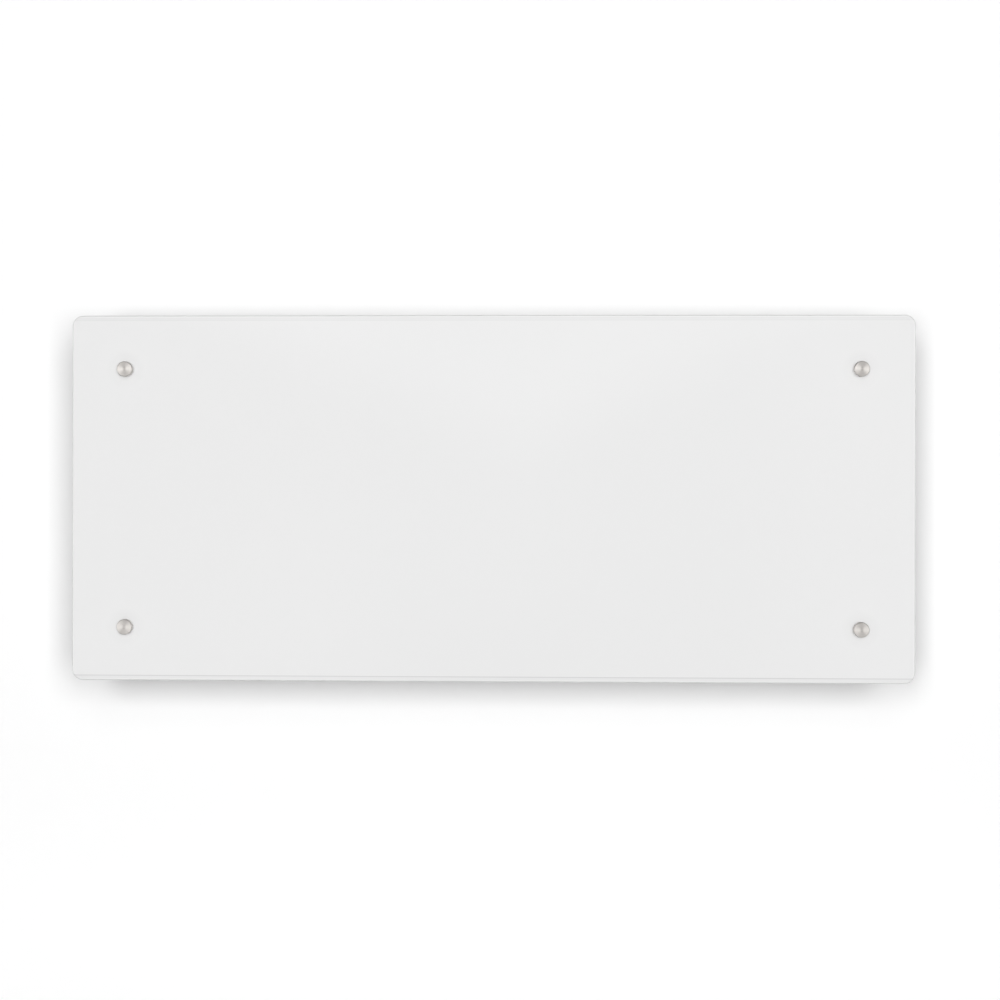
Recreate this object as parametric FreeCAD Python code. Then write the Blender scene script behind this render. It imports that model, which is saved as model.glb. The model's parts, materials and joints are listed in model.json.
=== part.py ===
import FreeCAD
import Part
import math
import os
from FreeCAD import Vector

# Wall-hung convector heater with a frameless glass front.
# Millimetres. +Z is up, +X is the viewer's right, the wall is the plane y = 0
# and the glass faces -Y. The origin is the middle of the four wall screws.

# Glass front
glass_width = 782.0
glass_height = 340.0
glass_thickness = 6.0
glass_corner_radius = 10.0
glass_edge_round = 1.5
glass_hole_diameter = 10.0

# Fixings through the glass corners
cap_inset = 50.0
cap_diameter = 14.0
cap_height = 5.0
cap_wall = 0.8
cap_edge_round = 0.7
cap_fit = 0.1
bush_flange_thickness = 0.8
bush_fit = 0.2
glass_screw_diameter = 6.0
glass_screw_head_diameter = 10.5
glass_screw_head_height = 2.4
glass_screw_socket_diameter = 4.0
glass_screw_socket_depth = 1.4
socket_sides = 6
glass_screw_end = 1.5
screw_fit = 0.1
thread_fit = 0.05
standoff_diameter = 16.0
standoff_length = 10.0
washer_thickness = 1.0
clinch_nut_diameter = 11.0
clinch_nut_length = 6.0
clinch_collar_diameter = 8.0

# Casing: a folded front pan closed by a rear tray
glass_overhang = 28.0
casing_depth = 42.0
sheet = 0.8
casing_corner_radius = 8.0
casing_bend_radius = 3.0
rear_gap = 24.0
cover_fit = 0.25
cover_bend_radius = 1.6
rim_depth = 7.0
rim_screw_diameter = 3.5
rim_screw_length = 8.0
rim_screw_head_diameter = 7.0
rim_screw_head_height = 2.0
rim_screw_corner_distance = 90.0
rim_screw_end_distance = 100.0

# Air grilles in the top and bottom of the casing
grille_end_margin = 70.0
grille_edge_gap = 1.5
grille_lap = 4.0
grille_slot_width = 6.0
grille_slot_pitch = 12.0
grille_slot_land = 2.5

# Air slots in the rear cover
cover_slot_length = 24.0
cover_slot_width = 5.0
cover_slot_pitch = 36.0
cover_slot_span = 540.0
lower_slot_row_inset = 13.0
upper_slots_below_hinge = 32.0

# Heating element
control_bay = 46.0
element_left_margin = 75.0
element_height_offset = 70.0
element_hub_diameter = 14.0
element_fin_reach = 17.0
element_fin_angle = 45.0
element_fin_thickness = 2.2
element_notch_pitch = 32.0
element_notch_width = 2.0
element_notch_clear = 2.0
rod_diameter = 8.4
rod_fit = 0.05
rod_overhang = 22.0
insulator_length = 7.0
insulator_diameter = 7.6
pin_length = 9.0
pin_diameter = 1.8
pin_spacing = 4.4
element_bracket_offset = 10.0
element_bracket_sheet = 1.2
element_bracket_height = 34.0
element_bracket_foot = 14.0
element_bracket_reach = 12.0
element_bracket_rivet_spacing = 20.0
element_bush_diameter = 15.0
element_bush_groove_diameter = 12.0
element_bush_lip = 1.6

# Heat shield behind the element
shield_sheet = 0.6
shield_standoff = 8.0
shield_below_element = 34.0
shield_below_slots = 3.7
shield_flange = 11.0

# Rivets through the rear cover
cover_rivet_diameter = 3.2
cover_rivet_head_diameter = 6.4
cover_rivet_head_height = 0.9
shield_rivet_inset = 60.0

# Partition between the warm chamber and the control bay
partition_edge_gap = 0.3
grommet_diameter = 16.0
grommet_groove_diameter = 13.0
grommet_lip = 1.6

# Thermal cut-out on the partition
cutout_from_partition = 24.0
cutout_diameter = 14.0
cutout_height = 9.0
cutout_above_element = 48.0
cutout_tab_spacing = 8.0
cutout_tab_length = 8.0
cutout_tab_width = 4.8
cutout_tab_thickness = 0.8
cutout_arm_sheet = 1.2
cutout_arm_overhang = 4.0
cutout_arm_foot = 18.0

# Control fascia in the right side of the casing
fascia_height_share = 0.53
fascia_width = 27.0
fascia_middle_share = 0.553
fascia_lap = 2.5
fascia_fit = 0.25
fascia_proud = 1.5
fascia_plug = 2.5
fascia_corner_radius = 5.0
fascia_edge_round = 0.6
housing_margin = 1.0
housing_end_margin = 3.0
housing_wall = 1.8
housing_post_diameter = 6.0
housing_post_above_connector = 5.0
component_air = 2.0
wire_window_margin = 1.5

# Display
display_from_top_share = 0.18
display_window_width = 14.0
display_length_share = 0.226
display_corner_radius = 1.5
display_window_recess = 0.3
display_window_fit = 0.1
display_air = 0.3
display_module_margin = 2.0

# Push buttons
first_button_from_top_share = 0.4
button_pitch_share = 0.113
button_gap = 6.0
button_corner_radius = 3.0
button_edge_round = 0.5
button_proud = 1.3
button_fit = 0.25
button_flange_lap = 1.4
button_flange_thickness = 1.2
button_seat_gap = 0.2
button_travel = 0.8
button_travel_spare = 0.1
button_stem_diameter = 4.0
tact_body_size = 6.2
tact_body_height = 3.4
tact_plunger_diameter = 3.4
tact_plunger_height = 1.0

# Rocker switch
rocker_from_bottom_share = 0.147
switch_wall = 1.6
switch_corner_radius = 1.0
switch_depth = 15.5
switch_fit = 0.15
switch_bezel_lap = 1.2
switch_bezel_height = 1.2
rocker_width = 9.6
rocker_half_length = 7.6
rocker_side_gap = 0.4
rocker_end_gap = 0.3
rocker_pivot_depth = 2.2
rocker_rise = 3.2
rocker_dip = 1.2
rocker_root = 1.5
rocker_floor_gap = 0.5
rocker_swing = 20.0
trunnion_diameter = 2.4
trunnion_length = 1.3
trunnion_fit = 0.05
trunnion_end_gap = 0.2
switch_tab_length = 7.0
switch_tab_width = 4.8
switch_tab_thickness = 0.8
switch_tab_spacing = 10.0

# Control board and its components
board_gap = 9.0
board_thickness = 1.6
board_edge_gap = 1.2
board_above_switch = 4.5
board_screw_diameter = 2.5
board_screw_length = 7.0
board_screw_head_diameter = 4.6
board_screw_head_height = 1.8
board_hole_inset = 4.0
connector_width = 22.0
connector_length = 13.0
connector_depth = 14.0
connector_from_end = 2.0
relay_width = 10.5
relay_length = 19.0
relay_height = 15.0
relay_above_connector = 10.0
capacitor_diameter = 12.0
capacitor_length = 14.0
radio_width = 16.0
radio_length = 24.0
radio_height = 3.2

# Terminal block, earth stud, room sensor and cord inlet
block_pole_pitch = 10.0
block_end_margin = 7.0
block_height = 24.0
block_depth = 18.0
block_clamp_diameter = 5.0
block_clamp_depth = 3.0
block_above_floor = 24.0
block_from_partition = 25.0
block_wire_depth = 9.2
earth_stud_diameter = 5.0
earth_stud_end = 4.0
earth_shoulder_diameter = 8.0
earth_tag_diameter = 10.0
earth_tag_thickness = 1.2
earth_nut_diameter = 9.0
earth_nut_height = 3.0
sensor_from_side = 16.0
sensor_from_front = 8.0
sensor_diameter = 4.0
sensor_length = 10.0
sensor_fit = 0.1
sensor_holder_width = 10.0
sensor_holder_height = 13.0
sensor_holder_floor = 2.0
sensor_vent_diameter = 3.0
inlet_width = 26.0
inlet_depth = 18.0
inlet_height = 28.0
inlet_above_floor = 3.0
inlet_bore_diameter = 8.0
inlet_bore_length = 13.0
inlet_bore_from_cover = 9.0
inlet_chamber_width = 10.0
inlet_chamber_height = 8.0
inlet_chamber_wall = 4.0
inlet_corner_radius = 3.0
inlet_wire_hole = 7.0
inlet_screw_diameter = 3.5
inlet_screw_head_diameter = 6.5
inlet_screw_head_height = 2.0
inlet_screw_end = 4.0
inlet_screw_spacing = 17.0
inlet_screw_above_bottom = 8.0

# Wires
wire_diameter = 2.4
sensor_wire_diameter = 2.0
wire_bend_radius = 4.0
least_wire_turn = 0.01
wire_start = 8.0
wire_below_housing = 6.0
sensor_wire_slack = 12.0
wire_column_inset = 3.6
load_wire_offsets = (-9.0, -4.9)
neutral_wire_offset = 9.0
sensor_wire_step = 6.0
element_lead_run = 30.0
element_lead_bend_start = 14.0
element_lead_bend_end = 5.0

# Wall bracket
bracket_sheet = 2.0
leg_inside_hook = 45.0
screws_below_hinge = 9.0
wall_screw_hole = 6.5
bracket_leg_width = 50.0
bracket_leg_flange = 9.0
bracket_bar_height = 46.0
bracket_bar_above_screws = 24.0
bracket_leg_below_screws = 30.0
bracket_bar_end_margin = 18.0
bracket_corner_radius = 6.0

# Hinge pins, hooks and hook locks
hook_spacing = 400.0
hinge_pin_offset = 11.0
hinge_below_casing_top = 48.0
hinge_pin_diameter = 5.0
hinge_pin_fit = 0.08
hinge_pin_head_diameter = 8.0
hinge_pin_head_height = 1.5
ear_radius = 5.4
ear_fit = 0.05
ear_gap = 0.5
hook_web = 3.0
hook_round = 7.5
hook_nose_depth = 9.0
hook_foot_sheet = 2.0
hook_foot_width = 34.0
hook_foot_above = 14.0
hook_foot_below = 26.0
hook_rivet_spacing = 22.0
hook_rivet_below_pin = 18.0
hook_rivet_diameter = 4.0
hook_rivet_head_diameter = 7.5
hook_rivet_head_height = 1.2
lock_sheet = 1.5
lock_gap = 0.3
lock_arm_height = 6.0
lock_arm_reach = 11.5
lock_pivot_forward = 7.0
lock_pivot_below = 8.2
lock_pivot_diameter = 3.0
lock_pivot_fit = 0.05
lock_pivot_head_diameter = 5.0
lock_pivot_head_height = 0.8
lock_pivot_head_gap = 0.15

# Rubber rests between bracket and heater
rest_diameter = 18.0
rest_gap = 0.3
rest_above_lower_screw = 40.0
rest_edge_round = 1.5

# Limits for picking edges to round
edge_turn_tolerance = 1e-3
plane_tolerance = 1e-5

X = Vector(1, 0, 0)
Y = Vector(0, 1, 0)
Z = Vector(0, 0, 1)

# Depth planes, from the wall towards the room
rear_plane = -rear_gap
front_plane = rear_plane - casing_depth
washer_plane = front_plane - standoff_length
glass_back = washer_plane - washer_thickness
glass_front = glass_back - glass_thickness
inner_front = front_plane + sheet
cover_inner = rear_plane - sheet
rim_front = rear_plane - rim_depth
bay_front = front_plane + casing_bend_radius
bay_middle = (bay_front + rim_front) / 2
grille_front = bay_front + grille_edge_gap
grille_rear = rim_front - grille_edge_gap

# Casing planes seen from the front
casing_width = glass_width - 2 * glass_overhang
casing_height = glass_height - 2 * glass_overhang
casing_right = casing_width / 2
casing_top = casing_height / 2
inner_right = casing_right - sheet
inner_top = casing_top - sheet
partition_x = inner_right - control_bay
grille_half_length = inner_right - grille_end_margin
hinge_pin_z = casing_top - hinge_below_casing_top
upper_slots_z = hinge_pin_z - upper_slots_below_hinge

# Glass fixing places
fixing_x = glass_width / 2 - cap_inset
fixing_z = glass_height / 2 - cap_inset
fixings = {
    "top_left": (-fixing_x, fixing_z),
    "top_right": (fixing_x, fixing_z),
    "bottom_left": (-fixing_x, -fixing_z),
    "bottom_right": (fixing_x, -fixing_z),
}
cap_bore = cap_diameter - 2 * cap_wall

# Element axis and the places along it, worked back from the partition
element_z = -inner_top + element_height_offset
element_y = (inner_front + cover_inner - shield_standoff - shield_sheet) / 2
cutout_x = partition_x - cutout_from_partition
cutout_top = element_z + cutout_above_element
cutout_tab_bottom = cutout_top - cutout_height - cutout_tab_length
feed_tab_x = cutout_x + cutout_tab_spacing / 2
return_tab_x = cutout_x - cutout_tab_spacing / 2
pin_end = return_tab_x - element_lead_run
rod_right = pin_end - pin_length - insulator_length
element_right = rod_right - rod_overhang
element_left = -inner_right + element_left_margin
rod_left = element_left - rod_overhang
element_bracket_right = element_right + element_bracket_offset
element_bracket_left = element_left - element_bracket_offset
shield_bottom = element_z - shield_below_element
shield_top = upper_slots_z - cover_slot_width / 2 - shield_below_slots - shield_flange

# Control planes along X and places along Z
fascia_outer = casing_right + fascia_proud
fascia_inner = casing_right - fascia_plug
fascia_length = casing_height * fascia_height_share
fascia_middle_z = (2 * fascia_middle_share - 1) * inner_top
fascia_top = fascia_middle_z + fascia_length / 2
fascia_bottom = fascia_middle_z - fascia_length / 2
board_front = fascia_inner - board_gap
board_back = board_front - board_thickness
component_height = max(relay_height, connector_depth, capacitor_length)
housing_floor = board_back - component_height - component_air
housing_back = housing_floor - housing_wall
housing_half_width = fascia_width / 2 + housing_margin
housing_top = fascia_top + housing_end_margin
housing_bottom = fascia_bottom - housing_end_margin
display_window_length = fascia_length * display_length_share
display_z = fascia_top - fascia_length * display_from_top_share
button_names = ("plus_button", "minus_button", "mode_button")
button_pitch = fascia_length * button_pitch_share
button_size = button_pitch - button_gap
first_button_z = fascia_top - fascia_length * first_button_from_top_share
button_z = [first_button_z - i * button_pitch for i in range(len(button_names))]
rocker_z = fascia_bottom + fascia_length * rocker_from_bottom_share
rocker_pivot_x = fascia_outer + switch_bezel_height - rocker_pivot_depth
switch_back = fascia_outer - switch_depth
rocker_sweep = math.hypot(rocker_half_length, rocker_rise)
cavity_half_width = rocker_width / 2 + rocker_side_gap
cavity_half_length = rocker_sweep + rocker_end_gap
switch_half_width = cavity_half_width + switch_wall
switch_half_length = cavity_half_length + switch_wall
board_half_width = housing_half_width - housing_wall - board_edge_gap
board_top = housing_top - housing_wall - board_edge_gap
board_bottom = rocker_z + switch_half_length + board_above_switch
connector_bottom = board_bottom + connector_from_end
connector_top = connector_bottom + connector_length
lower_post_z = connector_top + housing_post_above_connector
upper_post_z = board_top - board_hole_inset
relay_bottom = connector_top + relay_above_connector
relay_top = relay_bottom + relay_length
component_room = upper_post_z - housing_post_diameter / 2 - relay_top
component_gap = (component_room - capacitor_diameter - radio_length) / 3
capacitor_z = relay_top + component_gap + capacitor_diameter / 2
radio_bottom = capacitor_z + capacitor_diameter / 2 + component_gap
wire_column = board_back - connector_depth + wire_column_inset
feed_wire_y = bay_middle + load_wire_offsets[0]
return_wire_y = bay_middle + load_wire_offsets[1]
grommet_y = (feed_wire_y + return_wire_y) / 2
neutral_wire_y = bay_middle + neutral_wire_offset
switch_wire_x = switch_back - switch_tab_length / 2
lower_tab_z = rocker_z - switch_tab_spacing / 2
upper_tab_z = rocker_z + switch_tab_spacing / 2
post_half_spacing = board_half_width - board_hole_inset

# Terminal block
block_bottom = -inner_top + block_above_floor
block_top = block_bottom + block_height
block_live_x = partition_x + block_from_partition
block_neutral_x = block_live_x - block_pole_pitch
block_earth_x = block_live_x + block_pole_pitch
block_wire_y = cover_inner - block_wire_depth
earth_stud_z = (block_top + housing_bottom) / 2

# Room sensor and cord inlet
sensor_x = inner_right - sensor_from_side
sensor_y = bay_front + sensor_from_front
sensor_bottom = -inner_top + sensor_holder_floor
inlet_bottom = -casing_top + inlet_above_floor
inlet_top = inlet_bottom + inlet_height
inlet_back = rear_plane + inlet_depth
chamber_bottom = inlet_bottom + inlet_bore_length
chamber_top = chamber_bottom + inlet_chamber_height
inlet_screw_z = inlet_bottom + inlet_screw_above_bottom

# Wall bracket and hinge line
hook_x = hook_spacing / 2
leg_x = hook_x - leg_inside_hook
screw_z = hinge_pin_z - screws_below_hinge
bar_top = screw_z + bracket_bar_above_screws
bar_bottom = bar_top - bracket_bar_height
leg_bottom = -screw_z - bracket_leg_below_screws
hinge_pin_y = -hinge_pin_offset
pin_radius = hinge_pin_diameter / 2
slot_radius = pin_radius + hinge_pin_fit
hook_foot_plane = rear_plane + hook_foot_sheet
lock_inner_face = hook_web / 2 + lock_gap
lock_outer_face = lock_inner_face + lock_sheet
rest_z = -screw_z + rest_above_lower_screw
lock_pivot_y = hinge_pin_y - lock_pivot_forward
lock_pivot_z = hinge_pin_z - lock_pivot_below


def block(x0, x1, y0, y1, z0, z1):
    """Box between two corners."""
    return Part.makeBox(x1 - x0, y1 - y0, z1 - z0, Vector(x0, y0, z0))


def rod(start, direction, length, diameter):
    """Cylinder from a point along a direction."""
    return Part.makeCylinder(diameter / 2, length, start, direction)


def tube(start, direction, length, outer, inner):
    """Hollow cylinder from a point along a direction."""
    return rod(start, direction, length, outer).cut(rod(start, direction, length, inner))


def join(first, *others):
    """One clean solid from touching or overlapping pieces."""
    return first.fuse(list(others)).removeSplitter()


def edges_along(shape, direction):
    """Straight edges parallel to a direction."""
    found = []
    for edge in shape.Edges:
        run = edge.Vertexes[-1].Point - edge.Vertexes[0].Point
        if run.Length > 0 and run.cross(direction).Length < edge_turn_tolerance * run.Length:
            found.append(edge)
    return found


def edges_in_plane(shape, direction, level):
    """Edges that lie wholly in the plane at a level along a direction."""
    found = []
    for edge in shape.Edges:
        ends = edge.discretize(3)
        if all(abs(point.dot(direction) - level) < plane_tolerance for point in ends):
            found.append(edge)
    return found


def rounded_block(x0, x1, y0, y1, z0, z1, direction, radius):
    """Box whose four edges along a direction are rounded."""
    solid = block(x0, x1, y0, y1, z0, z1)
    return solid.makeFillet(radius, edges_along(solid, direction))


def obround(centre, along, through, length, width, depth):
    """Round-ended slot cutter, centred on a point, long along one axis and deep along another."""
    run = along * ((length - width) / 2)
    end = along * (length / 2)
    side = through.cross(along) * (width / 2)
    base = centre - through * (depth / 2)
    corners = [base - run + side, base + run + side, base + run - side, base - run - side]
    outline = Part.Wire([
        Part.makeLine(corners[0], corners[1]),
        Part.Arc(corners[1], base + end, corners[2]).toShape(),
        Part.makeLine(corners[2], corners[3]),
        Part.Arc(corners[3], base - end, corners[0]).toShape(),
    ])
    return Part.Face(outline).extrude(through * depth)


def prism(points, direction):
    """Straight-sided solid from a closed outline."""
    return Part.Face(Part.makePolygon(points + points[:1])).extrude(direction)


def wire_lead(points, diameter):
    """Round wire along straight runs joined by tangent arcs."""
    edges = []
    last = points[0]
    for before, corner, after in zip(points, points[1:], points[2:]):
        back = (before - corner).normalize()
        onward = (after - corner).normalize()
        half_turn = (math.pi - back.getAngle(onward)) / 2
        if half_turn < least_wire_turn:
            continue
        reach = wire_bend_radius * math.tan(half_turn)
        sagitta = wire_bend_radius / math.cos(half_turn) - wire_bend_radius
        middle = corner + (back + onward).normalize() * sagitta
        edges.append(Part.makeLine(last, corner + back * reach))
        edges.append(Part.Arc(corner + back * reach, middle, corner + onward * reach).toShape())
        last = corner + onward * reach
    edges.append(Part.makeLine(last, points[-1]))
    section = Part.Wire(Part.makeCircle(diameter / 2, points[0], points[1] - points[0]))
    return Part.Wire(edges).makePipeShell([section], True, False)


def rivet(x, z, front, rear, diameter, head_diameter, head_height):
    """Rivet along Y that clamps everything between two planes."""
    shank = rod(Vector(x, front, z), Y, rear - front, diameter)
    front_head = rod(Vector(x, front - head_height, z), Y, head_height, head_diameter)
    rear_head = rod(Vector(x, rear, z), Y, head_height, head_diameter)
    return join(shank, front_head, rear_head)


def tray_block(width, height, face, open_end, corner, bend):
    """Block with rounded corners seen from the front and a rounded rim round its face plane."""
    low, high = sorted((face, open_end))
    solid = rounded_block(-width / 2, width / 2, low, high, -height / 2, height / 2, Y, corner)
    return solid.makeFillet(bend, edges_in_plane(solid, Y, face))


def tray(width, height, face, open_end, corner, bend):
    """Folded sheet tray: a flat face with walls that run to an open end."""
    inward = math.copysign(sheet, open_end - face)
    outer = tray_block(width, height, face, open_end, corner, bend)
    inner = tray_block(width - 2 * sheet, height - 2 * sheet, face + inward, open_end + inward,
                       corner - sheet, bend - sheet)
    return outer.cut(inner)


def drill(shape, cutters):
    """Solid left after all cutters are taken away."""
    return shape.cut(Part.makeCompound(cutters))


def side_block(x0, x1, z, half_width, half_length, radius):
    """Rounded block on the control side, centred on the bay and on a height."""
    return rounded_block(x0, x1, bay_middle - half_width, bay_middle + half_width,
                         z - half_length, z + half_length, X, radius)


# Glass and its fixings

def front_glass():
    """Opaque glass panel with rounded corners, polished edges and four drilled holes."""
    panel = rounded_block(-glass_width / 2, glass_width / 2, glass_front, glass_back,
                          -glass_height / 2, glass_height / 2, Y, glass_corner_radius)
    polished = edges_in_plane(panel, Y, glass_front) + edges_in_plane(panel, Y, glass_back)
    panel = panel.makeFillet(glass_edge_round, polished)
    holes = [rod(Vector(x, glass_front, z), Y, glass_thickness, glass_hole_diameter)
             for x, z in fixings.values()]
    return drill(panel, holes)


def screw_cap(x, z):
    """Turned steel cup that hides a glass screw."""
    cup = rod(Vector(x, glass_front, z), -Y, cap_height, cap_diameter)
    cup = cup.makeFillet(cap_edge_round, edges_in_plane(cup, Y, glass_front - cap_height))
    return cup.cut(rod(Vector(x, glass_front, z), -Y, cap_height - cap_wall, cap_bore))


def glass_bush(x, z):
    """Flanged sleeve that keeps the screw off the glass and holds the cap."""
    front = Vector(x, glass_front - bush_flange_thickness, z)
    flange = rod(front, Y, bush_flange_thickness, cap_bore - 2 * cap_fit)
    sleeve = rod(front, Y, bush_flange_thickness + glass_thickness, glass_hole_diameter - 2 * bush_fit)
    bore = rod(front, Y, bush_flange_thickness + glass_thickness, glass_screw_diameter + 2 * screw_fit)
    return join(flange, sleeve).cut(bore)


def glass_screw(x, z):
    """Low-headed screw with a hexagon socket, from the bush flange to past the clinch nut."""
    seat = glass_front - bush_flange_thickness
    end = inner_front + clinch_nut_length + glass_screw_end
    head = rod(Vector(x, seat, z), -Y, glass_screw_head_height, glass_screw_head_diameter)
    shank = rod(Vector(x, seat, z), Y, end - seat, glass_screw_diameter)
    top = seat - glass_screw_head_height
    reach = glass_screw_socket_diameter / 2
    turns = [2 * math.pi * i / socket_sides for i in range(socket_sides)]
    hexagon = [Vector(x + reach * math.cos(a), top, z + reach * math.sin(a)) for a in turns]
    return join(head, shank).cut(prism(hexagon, Y * glass_screw_socket_depth))


def backing_washer(x, z):
    """Soft washer between the glass and its standoff."""
    return tube(Vector(x, glass_back, z), Y, washer_thickness,
                standoff_diameter, glass_screw_diameter + 2 * screw_fit)


def standoff(x, z):
    """Turned spacer that holds the glass off the casing."""
    return tube(Vector(x, washer_plane, z), Y, standoff_length,
                standoff_diameter, glass_screw_diameter + 2 * screw_fit)


def clinch_nut(x, z):
    """Threaded nut pressed into the casing front from inside."""
    collar = rod(Vector(x, front_plane, z), Y, sheet, clinch_collar_diameter)
    body = rod(Vector(x, inner_front, z), Y, clinch_nut_length, clinch_nut_diameter)
    bore = rod(Vector(x, front_plane, z), Y, sheet + clinch_nut_length,
               glass_screw_diameter + 2 * thread_fit)
    return join(collar, body).cut(bore)


# Casing

def rim_screw_places():
    """Seats of the cover screws on the casing walls, each with its outward direction."""
    level = rear_plane - rim_depth / 2
    far_x = casing_right - rim_screw_corner_distance
    far_z = casing_top - rim_screw_end_distance
    places = []
    for x in (-far_x, -far_x / 3, far_x / 3, far_x):
        places.append((Vector(x, level, casing_top), Z))
        places.append((Vector(x, level, -casing_top), -Z))
    for z in (-far_z, far_z):
        places.append((Vector(casing_right, level, z), X))
        places.append((Vector(-casing_right, level, z), -X))
    return places


def rim_screw(seat, outward):
    """Sheet-metal screw through the casing wall and the cover's rim."""
    head = rod(seat, outward, rim_screw_head_height, rim_screw_head_diameter)
    shank = rod(seat, -outward, rim_screw_length, rim_screw_diameter)
    return join(head, shank)


def rim_screw_holes():
    """Cutters for the cover screws, through the casing wall and the rim."""
    return [rod(seat + outward * sheet, -outward, rim_screw_length, rim_screw_diameter + 2 * thread_fit)
            for seat, outward in rim_screw_places()]


def grille_opening(side):
    """Cutter for the air opening in the casing's top (side 1) or bottom (side -1)."""
    low, high = sorted((side * (inner_top - sheet), side * (casing_top + sheet)))
    half = grille_half_length - grille_lap
    return block(-half, half, grille_front + grille_lap, grille_rear - grille_lap, low, high)


def grille_plate(side):
    """Slotted plate that closes the air opening from inside the casing."""
    low, high = sorted((side * inner_top, side * (inner_top - sheet)))
    plate = block(-grille_half_length, grille_half_length, grille_front, grille_rear, low, high)
    slot_length = grille_rear - grille_front - 2 * grille_lap - 2 * grille_slot_land
    count = int(2 * (grille_half_length - grille_lap) // grille_slot_pitch)
    middle = Vector(0, (grille_front + grille_rear) / 2, (low + high) / 2)
    slots = []
    for i in range(count):
        place = middle + X * ((i - (count - 1) / 2) * grille_slot_pitch)
        slots.append(obround(place, Y, Z, slot_length, grille_slot_width, 2 * sheet))
    return drill(plate, slots)


def fascia_opening():
    """Cutter for the fascia in the casing's right side."""
    return side_block(inner_right - sheet, casing_right + sheet, fascia_middle_z,
                      fascia_width / 2 - fascia_lap, fascia_length / 2 - fascia_lap,
                      fascia_corner_radius - fascia_lap)


def front_casing():
    """Folded front pan with openings for the grilles, fascia, sensor and screws."""
    pan = tray(casing_width, casing_height, front_plane, rear_plane,
               casing_corner_radius, casing_bend_radius)
    below = -casing_top - sheet
    cutters = [grille_opening(1), grille_opening(-1), fascia_opening()]
    cutters.append(rod(Vector(sensor_x, sensor_y, below), Z, 3 * sheet, sensor_vent_diameter))
    for x, z in fixings.values():
        cutters.append(rod(Vector(x, front_plane - sheet, z), Y, 3 * sheet,
                           clinch_collar_diameter + 2 * thread_fit))
    return drill(pan, cutters + rim_screw_holes())


def cover_rivet_places():
    """Rivets of the heat shield and the element brackets, each with its front plane."""
    shield_front = cover_inner - shield_sheet
    foot_front = cover_inner - element_bracket_sheet
    places = []
    for x in (element_left + shield_rivet_inset, element_right - shield_rivet_inset):
        places.append((x, shield_bottom - shield_flange / 2, shield_front))
        places.append((x, shield_top + shield_flange / 2, shield_front))
    foot_middle = (element_bracket_sheet + element_bracket_foot) / 2
    for x in (element_bracket_left - foot_middle, element_bracket_right + foot_middle):
        for side in (-1, 1):
            places.append((x, element_z + side * element_bracket_rivet_spacing / 2, foot_front))
    return places


def cover_rivet_holes():
    """Cutters for the rivets inside the rear cover."""
    depth = sheet + shield_sheet + element_bracket_sheet
    return [rod(Vector(x, cover_inner - depth, z), Y, 2 * depth, cover_rivet_diameter + 2 * thread_fit)
            for x, z, front in cover_rivet_places()]


def hook_rivet_places():
    """Rivets that hold the hanger hooks to the rear cover."""
    return [(side * hook_x + step * hook_rivet_spacing / 2, hinge_pin_z - hook_rivet_below_pin)
            for side in (-1, 1) for step in (-1, 1)]


def hook_rivet_holes():
    """Cutters for the hook rivets, through the cover and the hook feet."""
    depth = sheet + hook_foot_sheet
    return [rod(Vector(x, cover_inner - depth, z), Y, 3 * depth, hook_rivet_diameter + 2 * thread_fit)
            for x, z in hook_rivet_places()]


def rear_cover():
    """Shallow tray nested in the back of the casing, with two rows of air slots."""
    lap = sheet + cover_fit
    cover = tray(casing_width - 2 * lap, casing_height - 2 * lap, rear_plane, rim_front,
                 casing_corner_radius - lap, cover_bend_radius)
    count = int(cover_slot_span // cover_slot_pitch)
    slots = []
    for z in (-inner_top + lower_slot_row_inset, upper_slots_z):
        for i in range(count):
            place = Vector((i - (count - 1) / 2) * cover_slot_pitch, rear_plane, z)
            slots.append(obround(place, X, Y, cover_slot_length, cover_slot_width, 4 * sheet))
    fixing_holes = rim_screw_holes() + cover_rivet_holes() + hook_rivet_holes() + inlet_screw_holes()
    return drill(cover, slots + fixing_holes + [inlet_wire_passage()])


def partition_plate():
    """Sheet wall between the warm chamber and the control bay."""
    half = inner_top - (casing_bend_radius - sheet) - partition_edge_gap
    plate = block(partition_x - sheet, partition_x, inner_front, cover_inner, -half, half)
    return plate.cut(rod(Vector(partition_x - 2 * sheet, grommet_y, element_z), X, 3 * sheet,
                         grommet_groove_diameter + 2 * thread_fit))


def wire_grommet():
    """Grooved rubber plug in the partition with a hole for each element wire."""
    start = partition_x - sheet
    core = rod(Vector(start - grommet_lip, grommet_y, element_z), X, sheet + 2 * grommet_lip,
               grommet_groove_diameter)
    lips = [rod(Vector(x, grommet_y, element_z), X, grommet_lip, grommet_diameter)
            for x in (start - grommet_lip, partition_x)]
    holes = [rod(Vector(start - grommet_lip, y, element_z), X, sheet + 2 * grommet_lip,
                 wire_diameter + 2 * thread_fit) for y in (feed_wire_y, return_wire_y)]
    return drill(join(core, *lips), holes)


# Heating element

def heating_element():
    """Extruded aluminium body with four fins in an X, notched across at a steady pitch."""
    length = element_right - element_left
    start = Vector(element_left, element_y, element_z)
    reach = element_fin_reach
    fin = block(element_left, element_right,
                element_y - element_fin_thickness / 2, element_y + element_fin_thickness / 2,
                element_z - reach, element_z + reach)
    fins = [fin.rotated(start, X, side * element_fin_angle) for side in (-1, 1)]
    body = join(rod(start, X, length, element_hub_diameter), *fins)
    core = rod(start, X, length, element_hub_diameter + 2 * element_notch_clear)
    count = int(length // element_notch_pitch)
    notches = []
    for i in range(count):
        x = element_left + (i + 0.5) * length / count
        slab = block(x - element_notch_width / 2, x + element_notch_width / 2,
                     element_y - reach, element_y + reach, element_z - reach, element_z + reach)
        notches.append(slab.cut(core))
    bore = rod(start, X, length, rod_diameter + 2 * rod_fit)
    return drill(body, notches).cut(bore)


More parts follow.
